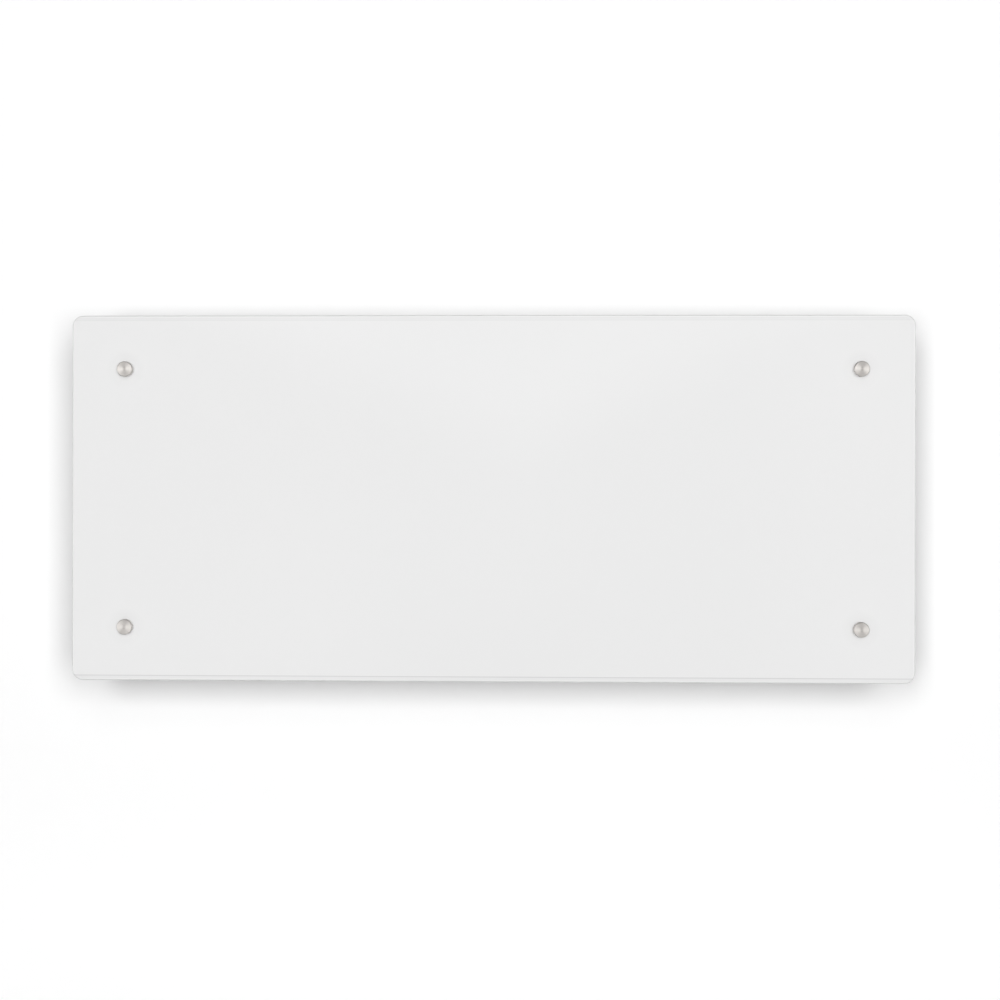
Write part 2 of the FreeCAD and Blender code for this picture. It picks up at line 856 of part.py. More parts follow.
def element_rod():
    """Sheathed heating rod through the finned body."""
    return rod(Vector(rod_left, element_y, element_z), X, rod_right - rod_left, rod_diameter)


def element_pin(side):
    """Terminal pin at the right end of the rod."""
    return rod(Vector(rod_right, element_y + side * pin_spacing / 2, element_z), X,
               insulator_length + pin_length, pin_diameter)


def element_insulator():
    """Ceramic plug round the two terminal pins."""
    plug = rod(Vector(rod_right, element_y, element_z), X, insulator_length, insulator_diameter)
    holes = [rod(Vector(rod_right, element_y + side * pin_spacing / 2, element_z), X,
                 insulator_length, pin_diameter + 2 * thread_fit) for side in (-1, 1)]
    return drill(plug, holes)


def element_bracket(web_x, outward):
    """Sheet angle riveted to the rear cover that carries one end of the rod."""
    low = element_z - element_bracket_height / 2
    high = element_z + element_bracket_height / 2
    x0, x1 = sorted((web_x, web_x + outward * element_bracket_sheet))
    web = block(x0, x1, element_y - element_bracket_reach, cover_inner, low, high)
    hole = rod(Vector(x0, element_y, element_z), X, element_bracket_sheet,
               element_bush_groove_diameter + 2 * thread_fit)
    x0, x1 = sorted((web_x, web_x + outward * element_bracket_foot))
    foot = block(x0, x1, cover_inner - element_bracket_sheet, cover_inner, low, high)
    return drill(join(web, foot), [hole] + cover_rivet_holes())


def element_bush(web_x, outward):
    """Grooved ceramic-filled bush between a bracket and the rod."""
    start = min(web_x, web_x + outward * element_bracket_sheet)
    core = rod(Vector(start, element_y, element_z), X, element_bracket_sheet,
               element_bush_groove_diameter)
    lips = [rod(Vector(x, element_y, element_z), X, element_bush_lip, element_bush_diameter)
            for x in (start - element_bush_lip, start + element_bracket_sheet)]
    bore = rod(Vector(start - element_bush_lip, element_y, element_z), X,
               element_bracket_sheet + 2 * element_bush_lip, rod_diameter + 2 * rod_fit)
    return join(core, *lips).cut(bore)


def heat_shield():
    """Top-hat section of thin sheet between the element and the rear cover."""
    back = cover_inner
    flange_front = back - shield_sheet
    web_front = back - shield_standoff
    front = web_front - shield_sheet
    outline = [
        (back, shield_bottom - shield_flange), (flange_front, shield_bottom - shield_flange),
        (flange_front, shield_bottom), (front, shield_bottom),
        (front, shield_top), (flange_front, shield_top),
        (flange_front, shield_top + shield_flange), (back, shield_top + shield_flange),
        (back, shield_top - shield_sheet), (web_front, shield_top - shield_sheet),
        (web_front, shield_bottom + shield_sheet), (back, shield_bottom + shield_sheet),
    ]
    points = [Vector(element_left, y, z) for y, z in outline]
    return drill(prism(points, X * (element_right - element_left)), cover_rivet_holes())


def cutout_arm():
    """Sheet angle on the partition that carries the thermal cut-out."""
    wall = partition_x - sheet
    half = cutout_diameter / 2
    far = cutout_x - half - cutout_arm_overhang
    arm = block(far, wall, feed_wire_y - half, feed_wire_y + half, cutout_top, cutout_top + cutout_arm_sheet)
    foot = block(wall - cutout_arm_sheet, wall, feed_wire_y - half, feed_wire_y + half,
                 cutout_top, cutout_top + cutout_arm_foot)
    return join(arm, foot)


def thermal_cutout():
    """Round bimetal switch hung under its arm, with two blade terminals."""
    body = rod(Vector(cutout_x, feed_wire_y, cutout_top), -Z, cutout_height, cutout_diameter)
    blades = []
    for x in (feed_tab_x, return_tab_x):
        blades.append(block(x - cutout_tab_thickness / 2, x + cutout_tab_thickness / 2,
                            feed_wire_y - cutout_tab_width / 2, feed_wire_y + cutout_tab_width / 2,
                            cutout_tab_bottom, cutout_top - cutout_height))
    return join(body, *blades)


# Control side

def control_fascia():
    """Moulded plate in the casing's side with places for the display, buttons and switch."""
    flange = side_block(casing_right, fascia_outer, fascia_middle_z,
                        fascia_width / 2, fascia_length / 2, fascia_corner_radius)
    flange = flange.makeFillet(fascia_edge_round, edges_in_plane(flange, X, fascia_outer))
    inset = fascia_lap + fascia_fit
    plug = side_block(fascia_inner, casing_right, fascia_middle_z,
                      fascia_width / 2 - inset, fascia_length / 2 - inset, fascia_corner_radius - inset)
    deep = fascia_inner - fascia_plug
    high = fascia_outer + fascia_proud
    holes = [side_block(deep, high, display_z, display_window_width / 2, display_window_length / 2,
                        display_corner_radius)]
    for z in button_z:
        half = button_size / 2 + button_fit
        holes.append(side_block(deep, high, z, half, half, button_corner_radius + button_fit))
    holes.append(side_block(deep, high, rocker_z, switch_half_width + switch_fit,
                            switch_half_length + switch_fit, switch_corner_radius))
    return drill(join(flange, plug), holes)


def display_window():
    """Clear pane set into the fascia."""
    return side_block(fascia_inner, fascia_outer - display_window_recess, display_z,
                      display_window_width / 2 - display_window_fit,
                      display_window_length / 2 - display_window_fit, display_corner_radius)


def display_module():
    """Digit display on the board, just behind its pane."""
    half_width = display_window_width / 2 + display_module_margin
    half_length = display_window_length / 2 + display_module_margin
    return block(board_front, fascia_inner - display_air, bay_middle - half_width, bay_middle + half_width,
                 display_z - half_length, display_z + half_length)


def push_button(z):
    """Button cap with a retaining flange and a stem that stops just short of its switch."""
    half = button_size / 2
    flange_top = fascia_inner - button_seat_gap
    flange_bottom = flange_top - button_flange_thickness
    stem_end = board_front + tact_body_height + tact_plunger_height + button_travel + button_travel_spare
    cap = side_block(flange_bottom, fascia_outer + button_proud, z, half, half, button_corner_radius)
    cap = cap.makeFillet(button_edge_round, edges_in_plane(cap, X, fascia_outer + button_proud))
    lap = half + button_flange_lap
    flange = side_block(flange_bottom, flange_top, z, lap, lap, button_corner_radius)
    stem = rod(Vector(stem_end, bay_middle, z), X, flange_bottom - stem_end, button_stem_diameter)
    return join(cap, flange, stem)


def tact_switch(z):
    """Small key switch on the board under a button."""
    half = tact_body_size / 2
    body = block(board_front, board_front + tact_body_height, bay_middle - half, bay_middle + half,
                 z - half, z + half)
    plunger = rod(Vector(board_front + tact_body_height, bay_middle, z), X,
                  tact_plunger_height, tact_plunger_diameter)
    return join(body, plunger)


def rocker_switch_body():
    """Snap-in switch body with a bezel and a well for the rocker."""
    bezel_top = fascia_outer + switch_bezel_height
    body = side_block(switch_back, fascia_outer, rocker_z, switch_half_width, switch_half_length,
                      switch_corner_radius)
    bezel = side_block(fascia_outer, bezel_top, rocker_z, switch_half_width + switch_bezel_lap,
                       switch_half_length + switch_bezel_lap, switch_corner_radius)
    tilt = math.radians(rocker_swing / 2)
    sunk = rocker_root * math.cos(tilt) + rocker_half_length * math.sin(tilt) + rocker_floor_gap
    well = side_block(rocker_pivot_x - sunk, bezel_top + switch_bezel_height, rocker_z,
                      cavity_half_width, cavity_half_length, switch_corner_radius)
    pivot_half = rocker_width / 2 + trunnion_length + trunnion_end_gap
    pivot = rod(Vector(rocker_pivot_x, bay_middle - pivot_half, rocker_z), Y, 2 * pivot_half,
                trunnion_diameter + 2 * trunnion_fit)
    return drill(join(body, bezel), [well, pivot])


def power_rocker():
    """Rocker with its lower end pressed in, on two trunnions."""
    half = rocker_width / 2
    outline = [
        (-rocker_root, -rocker_half_length), (rocker_rise, -rocker_half_length), (rocker_dip, 0),
        (rocker_rise, rocker_half_length), (-rocker_root, rocker_half_length),
    ]
    points = [Vector(rocker_pivot_x + u, bay_middle - half, rocker_z + w) for u, w in outline]
    wedge = prism(points, Y * rocker_width)
    pivot = Vector(rocker_pivot_x, bay_middle, rocker_z)
    reach = half + trunnion_length
    trunnions = rod(pivot - Y * reach, Y, 2 * reach, trunnion_diameter)
    return join(wedge.rotated(pivot, Y, rocker_swing / 2), trunnions)


def switch_tab(z):
    """Blade terminal behind the rocker switch."""
    return block(switch_back - switch_tab_length, switch_back,
                 bay_middle - switch_tab_width / 2, bay_middle + switch_tab_width / 2,
                 z - switch_tab_thickness / 2, z + switch_tab_thickness / 2)


def board_fixings():
    """Screw places of the board, over the housing's posts."""
    return [(bay_middle + side * post_half_spacing, z)
            for side in (-1, 1) for z in (lower_post_z, upper_post_z)]


def control_housing():
    """Moulded box behind the fascia with four board posts and a window for the wires."""
    middle_z = (housing_top + housing_bottom) / 2
    half_length = (housing_top - housing_bottom) / 2
    box = side_block(housing_back, inner_right, middle_z, housing_half_width, half_length, housing_wall)
    hollow = block(housing_floor, inner_right,
                   bay_middle - housing_half_width + housing_wall,
                   bay_middle + housing_half_width - housing_wall,
                   housing_bottom + housing_wall, housing_top - housing_wall)
    window_half = housing_half_width - housing_wall - wire_window_margin
    window = block(housing_floor, board_front, bay_middle - window_half, bay_middle + window_half,
                   housing_bottom - housing_wall, housing_bottom + 2 * housing_wall)
    shell = drill(box, [hollow, window])
    posts = [rod(Vector(housing_floor, y, z), X, board_back - housing_floor, housing_post_diameter)
             for y, z in board_fixings()]
    pilots = [rod(Vector(board_back, y, z), -X, board_screw_length, board_screw_diameter + 2 * thread_fit)
              for y, z in board_fixings()]
    return drill(join(shell, *posts), pilots)


def control_board():
    """Circuit board on the housing's posts."""
    board = block(board_back, board_front, bay_middle - board_half_width, bay_middle + board_half_width,
                  board_bottom, board_top)
    holes = [rod(Vector(board_back, y, z), X, board_thickness, board_screw_diameter + 2 * thread_fit)
             for y, z in board_fixings()]
    return drill(board, holes)


def board_screw(y, z):
    """Small screw through the board into a post."""
    head = rod(Vector(board_front, y, z), X, board_screw_head_height, board_screw_head_diameter)
    shank = rod(Vector(board_front, y, z), -X, board_screw_length, board_screw_diameter)
    return join(head, shank)


def board_component(width, height, bottom, length):
    """Block on the back of the board."""
    return block(board_back - height, board_back, bay_middle - width / 2, bay_middle + width / 2,
                 bottom, bottom + length)


def power_capacitor():
    """Round capacitor standing on the back of the board."""
    return rod(Vector(board_back, bay_middle, capacitor_z), -X, capacitor_length, capacitor_diameter)


# Supply, earth and sensor

def terminal_block():
    """Three-pole block on the rear cover with clamp screws facing forward."""
    front = cover_inner - block_depth
    body = block(block_neutral_x - block_end_margin, block_earth_x + block_end_margin,
                 front, cover_inner, block_bottom, block_top)
    middle_z = (block_top + block_bottom) / 2
    clamps = [rod(Vector(x, front, middle_z), Y, block_clamp_depth, block_clamp_diameter)
              for x in (block_neutral_x, block_live_x, block_earth_x)]
    return drill(body, clamps)


def earth_stud():
    """Shouldered stud welded to the rear cover."""
    tag_back = block_wire_y + earth_tag_thickness / 2
    end = block_wire_y - earth_tag_thickness / 2 - earth_stud_end
    stud = rod(Vector(block_earth_x, end, earth_stud_z), Y, cover_inner - end, earth_stud_diameter)
    shoulder = rod(Vector(block_earth_x, tag_back, earth_stud_z), Y, cover_inner - tag_back,
                   earth_shoulder_diameter)
    return join(stud, shoulder)


def earth_nut():
    """Nut that clamps the earth tag."""
    tag_front = block_wire_y - earth_tag_thickness / 2
    return tube(Vector(block_earth_x, tag_front, earth_stud_z), -Y, earth_nut_height,
                earth_nut_diameter, earth_stud_diameter + 2 * thread_fit)


def earth_lead():
    """Ring tag on the stud and the wire from the terminal block to it."""
    tag = tube(Vector(block_earth_x, block_wire_y - earth_tag_thickness / 2, earth_stud_z), Y,
               earth_tag_thickness, earth_tag_diameter, earth_stud_diameter + 2 * thread_fit)
    run = earth_stud_z - earth_tag_diameter / 2 - block_top
    wire = rod(Vector(block_earth_x, block_wire_y, block_top), Z, run, wire_diameter)
    return [tag, wire]


def supply_wires():
    """Live wire to the switch, link from the switch to the board, and neutral to the board."""
    lift = Z * wire_start
    below = housing_bottom - wire_below_housing
    live_start = Vector(block_live_x, block_wire_y, block_top)
    live = [live_start, live_start + lift, Vector(switch_wire_x, bay_middle, below),
            Vector(switch_wire_x, bay_middle, lower_tab_z - switch_tab_thickness / 2)]
    link_start = Vector(switch_wire_x, bay_middle, upper_tab_z + switch_tab_thickness / 2)
    link = rod(link_start, Z, connector_bottom - link_start.z, wire_diameter)
    neutral_start = Vector(block_neutral_x, block_wire_y, block_top)
    neutral = [neutral_start, neutral_start + lift, Vector(wire_column, neutral_wire_y, below),
               Vector(wire_column, neutral_wire_y, connector_bottom)]
    return [wire_lead(live, wire_diameter), link, wire_lead(neutral, wire_diameter)]


def element_wires():
    """Feed to the cut-out, lead from the cut-out to the element, and return to the board."""
    bend_start = pin_end + element_lead_bend_start
    bend_end = pin_end + element_lead_bend_end
    feed_pin_y = element_y - pin_spacing / 2
    return_pin_y = element_y + pin_spacing / 2
    feed = [Vector(wire_column, feed_wire_y, connector_bottom), Vector(wire_column, feed_wire_y, element_z),
            Vector(feed_tab_x, feed_wire_y, element_z), Vector(feed_tab_x, feed_wire_y, cutout_tab_bottom)]
    lead = [Vector(return_tab_x, feed_wire_y, cutout_tab_bottom),
            Vector(return_tab_x, feed_wire_y, element_z), Vector(bend_start, feed_wire_y, element_z),
            Vector(bend_end, feed_pin_y, element_z), Vector(pin_end, feed_pin_y, element_z)]
    back = [Vector(wire_column, return_wire_y, connector_bottom),
            Vector(wire_column, return_wire_y, element_z), Vector(bend_start, return_wire_y, element_z),
            Vector(bend_end, return_pin_y, element_z), Vector(pin_end, return_pin_y, element_z)]
    return [wire_lead(route, wire_diameter) for route in (feed, lead, back)]


def sensor_holder():
    """Moulded clip on the casing floor with a pocket for the sensor bead."""
    half = sensor_holder_width / 2
    floor = -inner_top
    clip = block(sensor_x - half, sensor_x + half, sensor_y - half, sensor_y + half,
                 floor, floor + sensor_holder_height)
    pocket = rod(Vector(sensor_x, sensor_y, sensor_bottom), Z, sensor_holder_height,
                 sensor_diameter + 2 * sensor_fit)
    vent = rod(Vector(sensor_x, sensor_y, floor), Z, sensor_holder_floor, sensor_vent_diameter)
    return drill(clip, [pocket, vent])


def room_sensor():
    """Sensor bead and its lead to the board."""
    bead = rod(Vector(sensor_x, sensor_y, sensor_bottom), Z, sensor_length, sensor_diameter)
    entry_x = wire_column + sensor_wire_step
    route = [Vector(sensor_x, sensor_y, sensor_bottom + sensor_length),
             Vector(sensor_x, sensor_y, housing_bottom - sensor_wire_slack),
             Vector(entry_x, feed_wire_y, housing_bottom + sensor_wire_slack),
             Vector(entry_x, feed_wire_y, connector_bottom)]
    return [bead, wire_lead(route, sensor_wire_diameter)]


def inlet_screw_places():
    """Screws that hold the cord inlet to the rear cover."""
    return [block_live_x + side * inlet_screw_spacing / 2 for side in (-1, 1)]


def inlet_screw_holes():
    """Cutters for the inlet screws, through the inlet and the rear cover."""
    length = inlet_depth + inlet_screw_end
    return [rod(Vector(x, inlet_back, inlet_screw_z), -Y, length, inlet_screw_diameter + 2 * thread_fit)
            for x in inlet_screw_places()]


def inlet_wire_passage():
    """Cutter for the wire hole from the inlet's chamber through the rear cover."""
    middle_z = (chamber_bottom + chamber_top) / 2
    return rod(Vector(block_live_x, rear_plane - 2 * sheet, middle_z), Y, 4 * sheet, inlet_wire_hole)


def cord_inlet():
    """Moulded inlet on the rear cover whose bore takes the cord from below."""
    half = inlet_width / 2
    body = rounded_block(block_live_x - half, block_live_x + half, rear_plane, inlet_back,
                         inlet_bottom, inlet_top, Y, inlet_corner_radius)
    bore_y = rear_plane + inlet_bore_from_cover
    bore = rod(Vector(block_live_x, bore_y, inlet_bottom), Z, inlet_bore_length, inlet_bore_diameter)
    chamber_half = inlet_chamber_width / 2
    chamber = block(block_live_x - chamber_half, block_live_x + chamber_half,
                    rear_plane, inlet_back - inlet_chamber_wall, chamber_bottom, chamber_top)
    return drill(body, [bore, chamber] + inlet_screw_holes())


def inlet_screw(x):
    """Pan-headed screw through the inlet into the rear cover."""
    seat = Vector(x, inlet_back, inlet_screw_z)
    head = rod(seat, Y, inlet_screw_head_height, inlet_screw_head_diameter)
    shank = rod(seat, -Y, inlet_depth + inlet_screw_end, inlet_screw_diameter)
    return join(head, shank)


# Wall bracket, hinge and rests

def ear_faces(side):
    """X extents of the two ears beside a hook, from the middle of the bracket outwards."""
    inner = hook_x - lock_outer_face - ear_gap
    outer = hook_x + hook_web / 2 + ear_gap
    faces = [(inner - bracket_sheet, inner), (outer, outer + bracket_sheet)]
    return [tuple(sorted((side * a, side * b))) for a, b in faces]


def bracket_ear(x0, x1):
    """Round-ended ear bent forward from the bracket's bar."""
    arm = block(x0, x1, hinge_pin_y, 0, hinge_pin_z - ear_radius, hinge_pin_z + ear_radius)
    tip = rod(Vector(x0, hinge_pin_y, hinge_pin_z), X, x1 - x0, 2 * ear_radius)
    bore = rod(Vector(x0, hinge_pin_y, hinge_pin_z), X, x1 - x0, hinge_pin_diameter + 2 * ear_fit)
    return join(arm, tip).cut(bore)


def wall_bracket():
    """Pressed bracket: a bar with four ears, two flanged legs and four wall screw holes."""
    bar_half = hook_x + bracket_bar_end_margin
    half_leg = bracket_leg_width / 2
    bar = block(-bar_half, bar_half, -bracket_sheet, 0, bar_bottom, bar_top)
    legs = [block(side * leg_x - half_leg, side * leg_x + half_leg, -bracket_sheet, 0, leg_bottom, bar_top)
            for side in (-1, 1)]
    plate = join(bar, *legs)
    plate = plate.makeFillet(bracket_corner_radius, edges_along(plate, Y))
    flanges = []
    for side in (-1, 1):
        for edge in (side * leg_x - half_leg, side * leg_x + half_leg - bracket_sheet):
            flanges.append(block(edge, edge + bracket_sheet, -bracket_sheet - bracket_leg_flange, 0,
                                 leg_bottom + bracket_corner_radius, bar_bottom - bracket_corner_radius))
    ears = [bracket_ear(x0, x1) for side in (-1, 1) for x0, x1 in ear_faces(side)]
    holes = [rod(Vector(side * leg_x, -bracket_sheet, end * screw_z), Y, bracket_sheet, wall_screw_hole)
             for side in (-1, 1) for end in (-1, 1)]
    return drill(join(plate, *(flanges + ears)), holes)


def hinge_pin(side):
    """Pin through two ears, with a head at each end."""
    faces = [x for pair in ear_faces(side) for x in pair]
    low = min(faces)
    high = max(faces)
    low_end = Vector(low, hinge_pin_y, hinge_pin_z)
    high_end = Vector(high, hinge_pin_y, hinge_pin_z)
    shank = rod(low_end, X, high - low, hinge_pin_diameter)
    heads = [rod(low_end, -X, hinge_pin_head_height, hinge_pin_head_diameter),
             rod(high_end, X, hinge_pin_head_height, hinge_pin_head_diameter)]
    return join(shank, *heads)


def hanger_hook(side):
    """Riveted hook whose downward slot sits over a hinge pin."""
    x0 = side * hook_x - hook_web / 2
    x1 = side * hook_x + hook_web / 2
    low = hinge_pin_z - hook_foot_below
    leg = block(x0, x1, rear_plane, hinge_pin_y, low, hinge_pin_z + hook_round)
    crown = rod(Vector(x0, hinge_pin_y, hinge_pin_z), X, hook_web, 2 * hook_round)
    nose = block(x0, x1, hinge_pin_y, hinge_pin_y + hook_round, hinge_pin_z - hook_nose_depth, hinge_pin_z)
    foot = block(side * hook_x - hook_foot_width / 2, side * hook_x + hook_foot_width / 2,
                 rear_plane, hook_foot_plane, low, hinge_pin_z + hook_foot_above)
    slot = [rod(Vector(x0, hinge_pin_y, hinge_pin_z), X, hook_web, 2 * slot_radius),
            block(x0, x1, hinge_pin_y - slot_radius, hinge_pin_y + slot_radius,
                  low - slot_radius, hinge_pin_z)]
    pivot = rod(Vector(x0, lock_pivot_y, lock_pivot_z), X, hook_web, lock_pivot_diameter + 2 * thread_fit)
    return drill(join(leg, crown, nose, foot), slot + [pivot] + hook_rivet_holes())


def hook_lock(side):
    """Flat arm beside a hook that closes the slot under the pin."""
    x0, x1 = sorted((side * (hook_x - lock_outer_face), side * (hook_x - lock_inner_face)))
    middle = Vector((x0 + x1) / 2, lock_pivot_y + lock_arm_reach / 2, lock_pivot_z)
    arm = obround(middle, Y, X, lock_arm_reach + lock_arm_height, lock_arm_height, lock_sheet)
    return arm.cut(rod(Vector(x0, lock_pivot_y, lock_pivot_z), X, lock_sheet,
                       lock_pivot_diameter + 2 * lock_pivot_fit))


def lock_pivot(side):
    """Shouldered rivet through a hook that carries its lock."""
    near = side * (hook_x + hook_web / 2)
    far = side * (hook_x - lock_outer_face - lock_pivot_head_gap)
    low, high = sorted((near, far))
    low_end = Vector(low, lock_pivot_y, lock_pivot_z)
    high_end = Vector(high, lock_pivot_y, lock_pivot_z)
    shank = rod(low_end, X, high - low, lock_pivot_diameter)
    heads = [rod(low_end, -X, lock_pivot_head_height, lock_pivot_head_diameter),
             rod(high_end, X, lock_pivot_head_height, lock_pivot_head_diameter)]
    return join(shank, *heads)


def wall_rest(side):
    """Rubber rest on a bracket leg that the heater's back leans against."""
    length = rear_gap - bracket_sheet - rest_gap
    pad = rod(Vector(side * leg_x, -bracket_sheet, rest_z), -Y, length, rest_diameter)
    return pad.makeFillet(rest_edge_round, edges_in_plane(pad, Y, -bracket_sheet - length))


def hook_rivets():
    """Rivets that hold the hooks to the rear cover, and the pivots of the hook locks."""
    solids = [rivet(x, z, cover_inner, hook_foot_plane, hook_rivet_diameter,
                    hook_rivet_head_diameter, hook_rivet_head_height) for x, z in hook_rivet_places()]
    return solids + [lock_pivot(side) for side in (-1, 1)]


def cover_rivets():
    """Rivets of the heat shield and the element brackets."""
    return [rivet(x, z, front, rear_plane, cover_rivet_diameter, cover_rivet_head_diameter,
                  cover_rivet_head_height) for x, z, front in cover_rivet_places()]


def all_parts():
    """Every node of the heater with its solid or its group of solids."""
    places = list(fixings.values())
    sides = (-1, 1)
    bracket_ends = ((element_bracket_left, -1), (element_bracket_right, 1))
    parts = {
        "front_glass": front_glass(),
        "glass_bushes": [glass_bush(x, z) for x, z in places],
        "glass_screws": [glass_screw(x, z) for x, z in places],
        "backing_washers": [backing_washer(x, z) for x, z in places],
        "standoffs": [standoff(x, z) for x, z in places],
        "clinch_nuts": [clinch_nut(x, z) for x, z in places],
        "front_casing": front_casing(),
        "rear_cover": rear_cover(),
        "rim_screws": [rim_screw(seat, outward) for seat, outward in rim_screw_places()],
        "outlet_grille": grille_plate(1),
        "inlet_grille": grille_plate(-1),
        "partition_plate": partition_plate(),
        "wire_grommet": wire_grommet(),
        "heating_element": heating_element(),
        "element_rod": element_rod(),
        "element_pins": [element_pin(side) for side in sides],
        "element_insulator": element_insulator(),
        "element_brackets": [element_bracket(x, outward) for x, outward in bracket_ends],
        "element_bushes": [element_bush(x, outward) for x, outward in bracket_ends],
        "heat_shield": heat_shield(),
        "cover_rivets": cover_rivets(),
        "cutout_arm": cutout_arm(),
        "thermal_cutout": thermal_cutout(),
        "control_fascia": control_fascia(),
        "control_housing": control_housing(),
        "display_window": display_window(),
        "display_module": display_module(),
        "tact_switches": [tact_switch(z) for z in button_z],
        "rocker_switch_body": rocker_switch_body(),
        "power_rocker": power_rocker(),
        "switch_tabs": [switch_tab(z) for z in (lower_tab_z, upper_tab_z)],
        "control_board": control_board(),
        "board_screws": [board_screw(y, z) for y, z in board_fixings()],
        "board_connector": board_component(connector_width, connector_depth, connector_bottom,
                                           connector_length),
        "relay": board_component(relay_width, relay_height, relay_bottom, relay_length),
        "power_capacitor": power_capacitor(),
        "radio_module": board_component(radio_width, radio_height, radio_bottom, radio_length),
        "terminal_block": terminal_block(),
        "earth_stud": [earth_stud(), earth_nut()],
        "earth_lead": earth_lead(),
        "supply_wires": supply_wires(),
        "element_wires": element_wires(),
        "sensor_holder": sensor_holder(),
        "room_sensor": room_sensor(),
        "cord_inlet": cord_inlet(),
        "inlet_screws": [inlet_screw(x) for x in inlet_screw_places()],
        "wall_bracket": wall_bracket(),
        "hinge_pins": [hinge_pin(side) for side in sides],
        "hanger_hooks": [hanger_hook(side) for side in sides],
        "hook_rivets": hook_rivets(),
        "hook_lock_left": hook_lock(-1),
        "hook_lock_right": hook_lock(1),
        "wall_rests": [wall_rest(side) for side in sides],
    }
    for corner, (x, z) in fixings.items():
        parts["screw_cap_" + corner] = screw_cap(x, z)
    for name, z in zip(button_names, button_z):
        parts[name] = push_button(z)
    return parts


def main():
    os.makedirs("parts", exist_ok=True)
    for name, shape in all_parts().items():
        solids = shape if isinstance(shape, list) else [shape]
        Part.makeCompound(solids).exportStep(os.path.join("parts", name + ".step"))


main()
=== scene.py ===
import json
import math

import bmesh
import bpy
from mathutils import Matrix, Vector


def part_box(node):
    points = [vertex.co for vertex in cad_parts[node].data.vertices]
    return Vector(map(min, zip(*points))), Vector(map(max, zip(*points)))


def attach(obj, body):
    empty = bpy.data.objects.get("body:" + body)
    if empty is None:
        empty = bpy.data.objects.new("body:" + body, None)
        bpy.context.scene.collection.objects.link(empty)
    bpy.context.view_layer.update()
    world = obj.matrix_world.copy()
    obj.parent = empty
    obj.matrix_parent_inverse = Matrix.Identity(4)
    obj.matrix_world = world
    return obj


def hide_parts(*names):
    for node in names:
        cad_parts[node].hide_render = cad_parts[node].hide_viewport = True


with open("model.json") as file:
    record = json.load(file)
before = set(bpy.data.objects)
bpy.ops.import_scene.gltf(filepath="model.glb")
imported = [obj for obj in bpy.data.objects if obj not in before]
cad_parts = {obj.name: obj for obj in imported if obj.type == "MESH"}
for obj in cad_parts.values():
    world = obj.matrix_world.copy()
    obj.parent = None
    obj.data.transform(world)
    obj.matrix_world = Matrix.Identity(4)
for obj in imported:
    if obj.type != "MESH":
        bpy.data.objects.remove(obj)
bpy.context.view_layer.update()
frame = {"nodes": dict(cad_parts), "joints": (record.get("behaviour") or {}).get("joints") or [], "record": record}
nodes = frame["nodes"]

# Sizes are in metres, in the part's frame: +Z up, +X to the viewer's right, the wall at y = 0.
MM = 0.001
GLASS_LOW, GLASS_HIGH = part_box("front_glass")
GLASS_FRONT = GLASS_LOW[1]


def middle(low, high):
    """Centre of a box."""
    return Vector([(a + b) / 2 for a, b in zip(low, high)])


# Materials

# Most of a noise texture lies between these factors.
NOISE_LOW = 0.3
NOISE_HIGH = 0.7


def grey(level):
    """A grey as a colour."""
    return (level, level, level)


def tinted(colour, by):
    """A colour made lighter or darker by a factor."""
    return tuple(min(1.0, c * by) for c in colour)


class Graph:
    """The node tree of a material or world, with short ways to add and join nodes."""

    def __init__(self, owner):
        owner.use_nodes = True
        self.tree = owner.node_tree

    def join(self, value, socket):
        """Links an output to a socket, or sets the socket to a plain value."""
        if isinstance(value, bpy.types.NodeSocket):
            self.tree.links.new(value, socket)
        else:
            socket.default_value = value

    def add(self, kind, settings=None, **inputs):
        """New node with its settings and inputs, which go by their labels or by _ and their number."""
        node = self.tree.nodes.new(kind)
        for name, value in (settings or {}).items():
            setattr(node, name, value)
        for name, value in inputs.items():
            key = int(name[1:]) if name[0] == "_" else name.replace("_", " ")
            self.join(value, node.inputs[key])
        return node

    def maths(self, operation, first, second=0.0, third=0.0):
        node = self.add("ShaderNodeMath", {"operation": operation}, _0=first, _1=second, _2=third)
        return node.outputs[0]

    def vectors(self, operation, *inputs):
        """Vector maths, as a number where the operation gives one."""
        node = self.add("ShaderNodeVectorMath", {"operation": operation})
        for value, socket in zip(inputs, node.inputs):
            self.join(value, socket)
        return node.outputs["Value" if operation in ("DISTANCE", "LENGTH") else "Vector"]

    def parts(self, place):
        """The X, Y and Z of a place or direction."""
        return self.add("ShaderNodeSeparateXYZ", Vector=place).outputs

    def ranged(self, value, start, end, low, high, curve="LINEAR"):
        """A value that runs from low to high while another runs from start to end."""
        return self.add("ShaderNodeMapRange", {"interpolation_type": curve}, Value=value, From_Min=start,
                        From_Max=end, To_Min=low, To_Max=high).outputs["Result"]

    def surface(self, factor, first, second):
        """Makes a mix of two shaders the material's surface."""
        mix = self.add("ShaderNodeMixShader", _0=factor, _1=first, _2=second)
        self.join(mix.outputs[0], self.tree.nodes["Material Output"].inputs["Surface"])


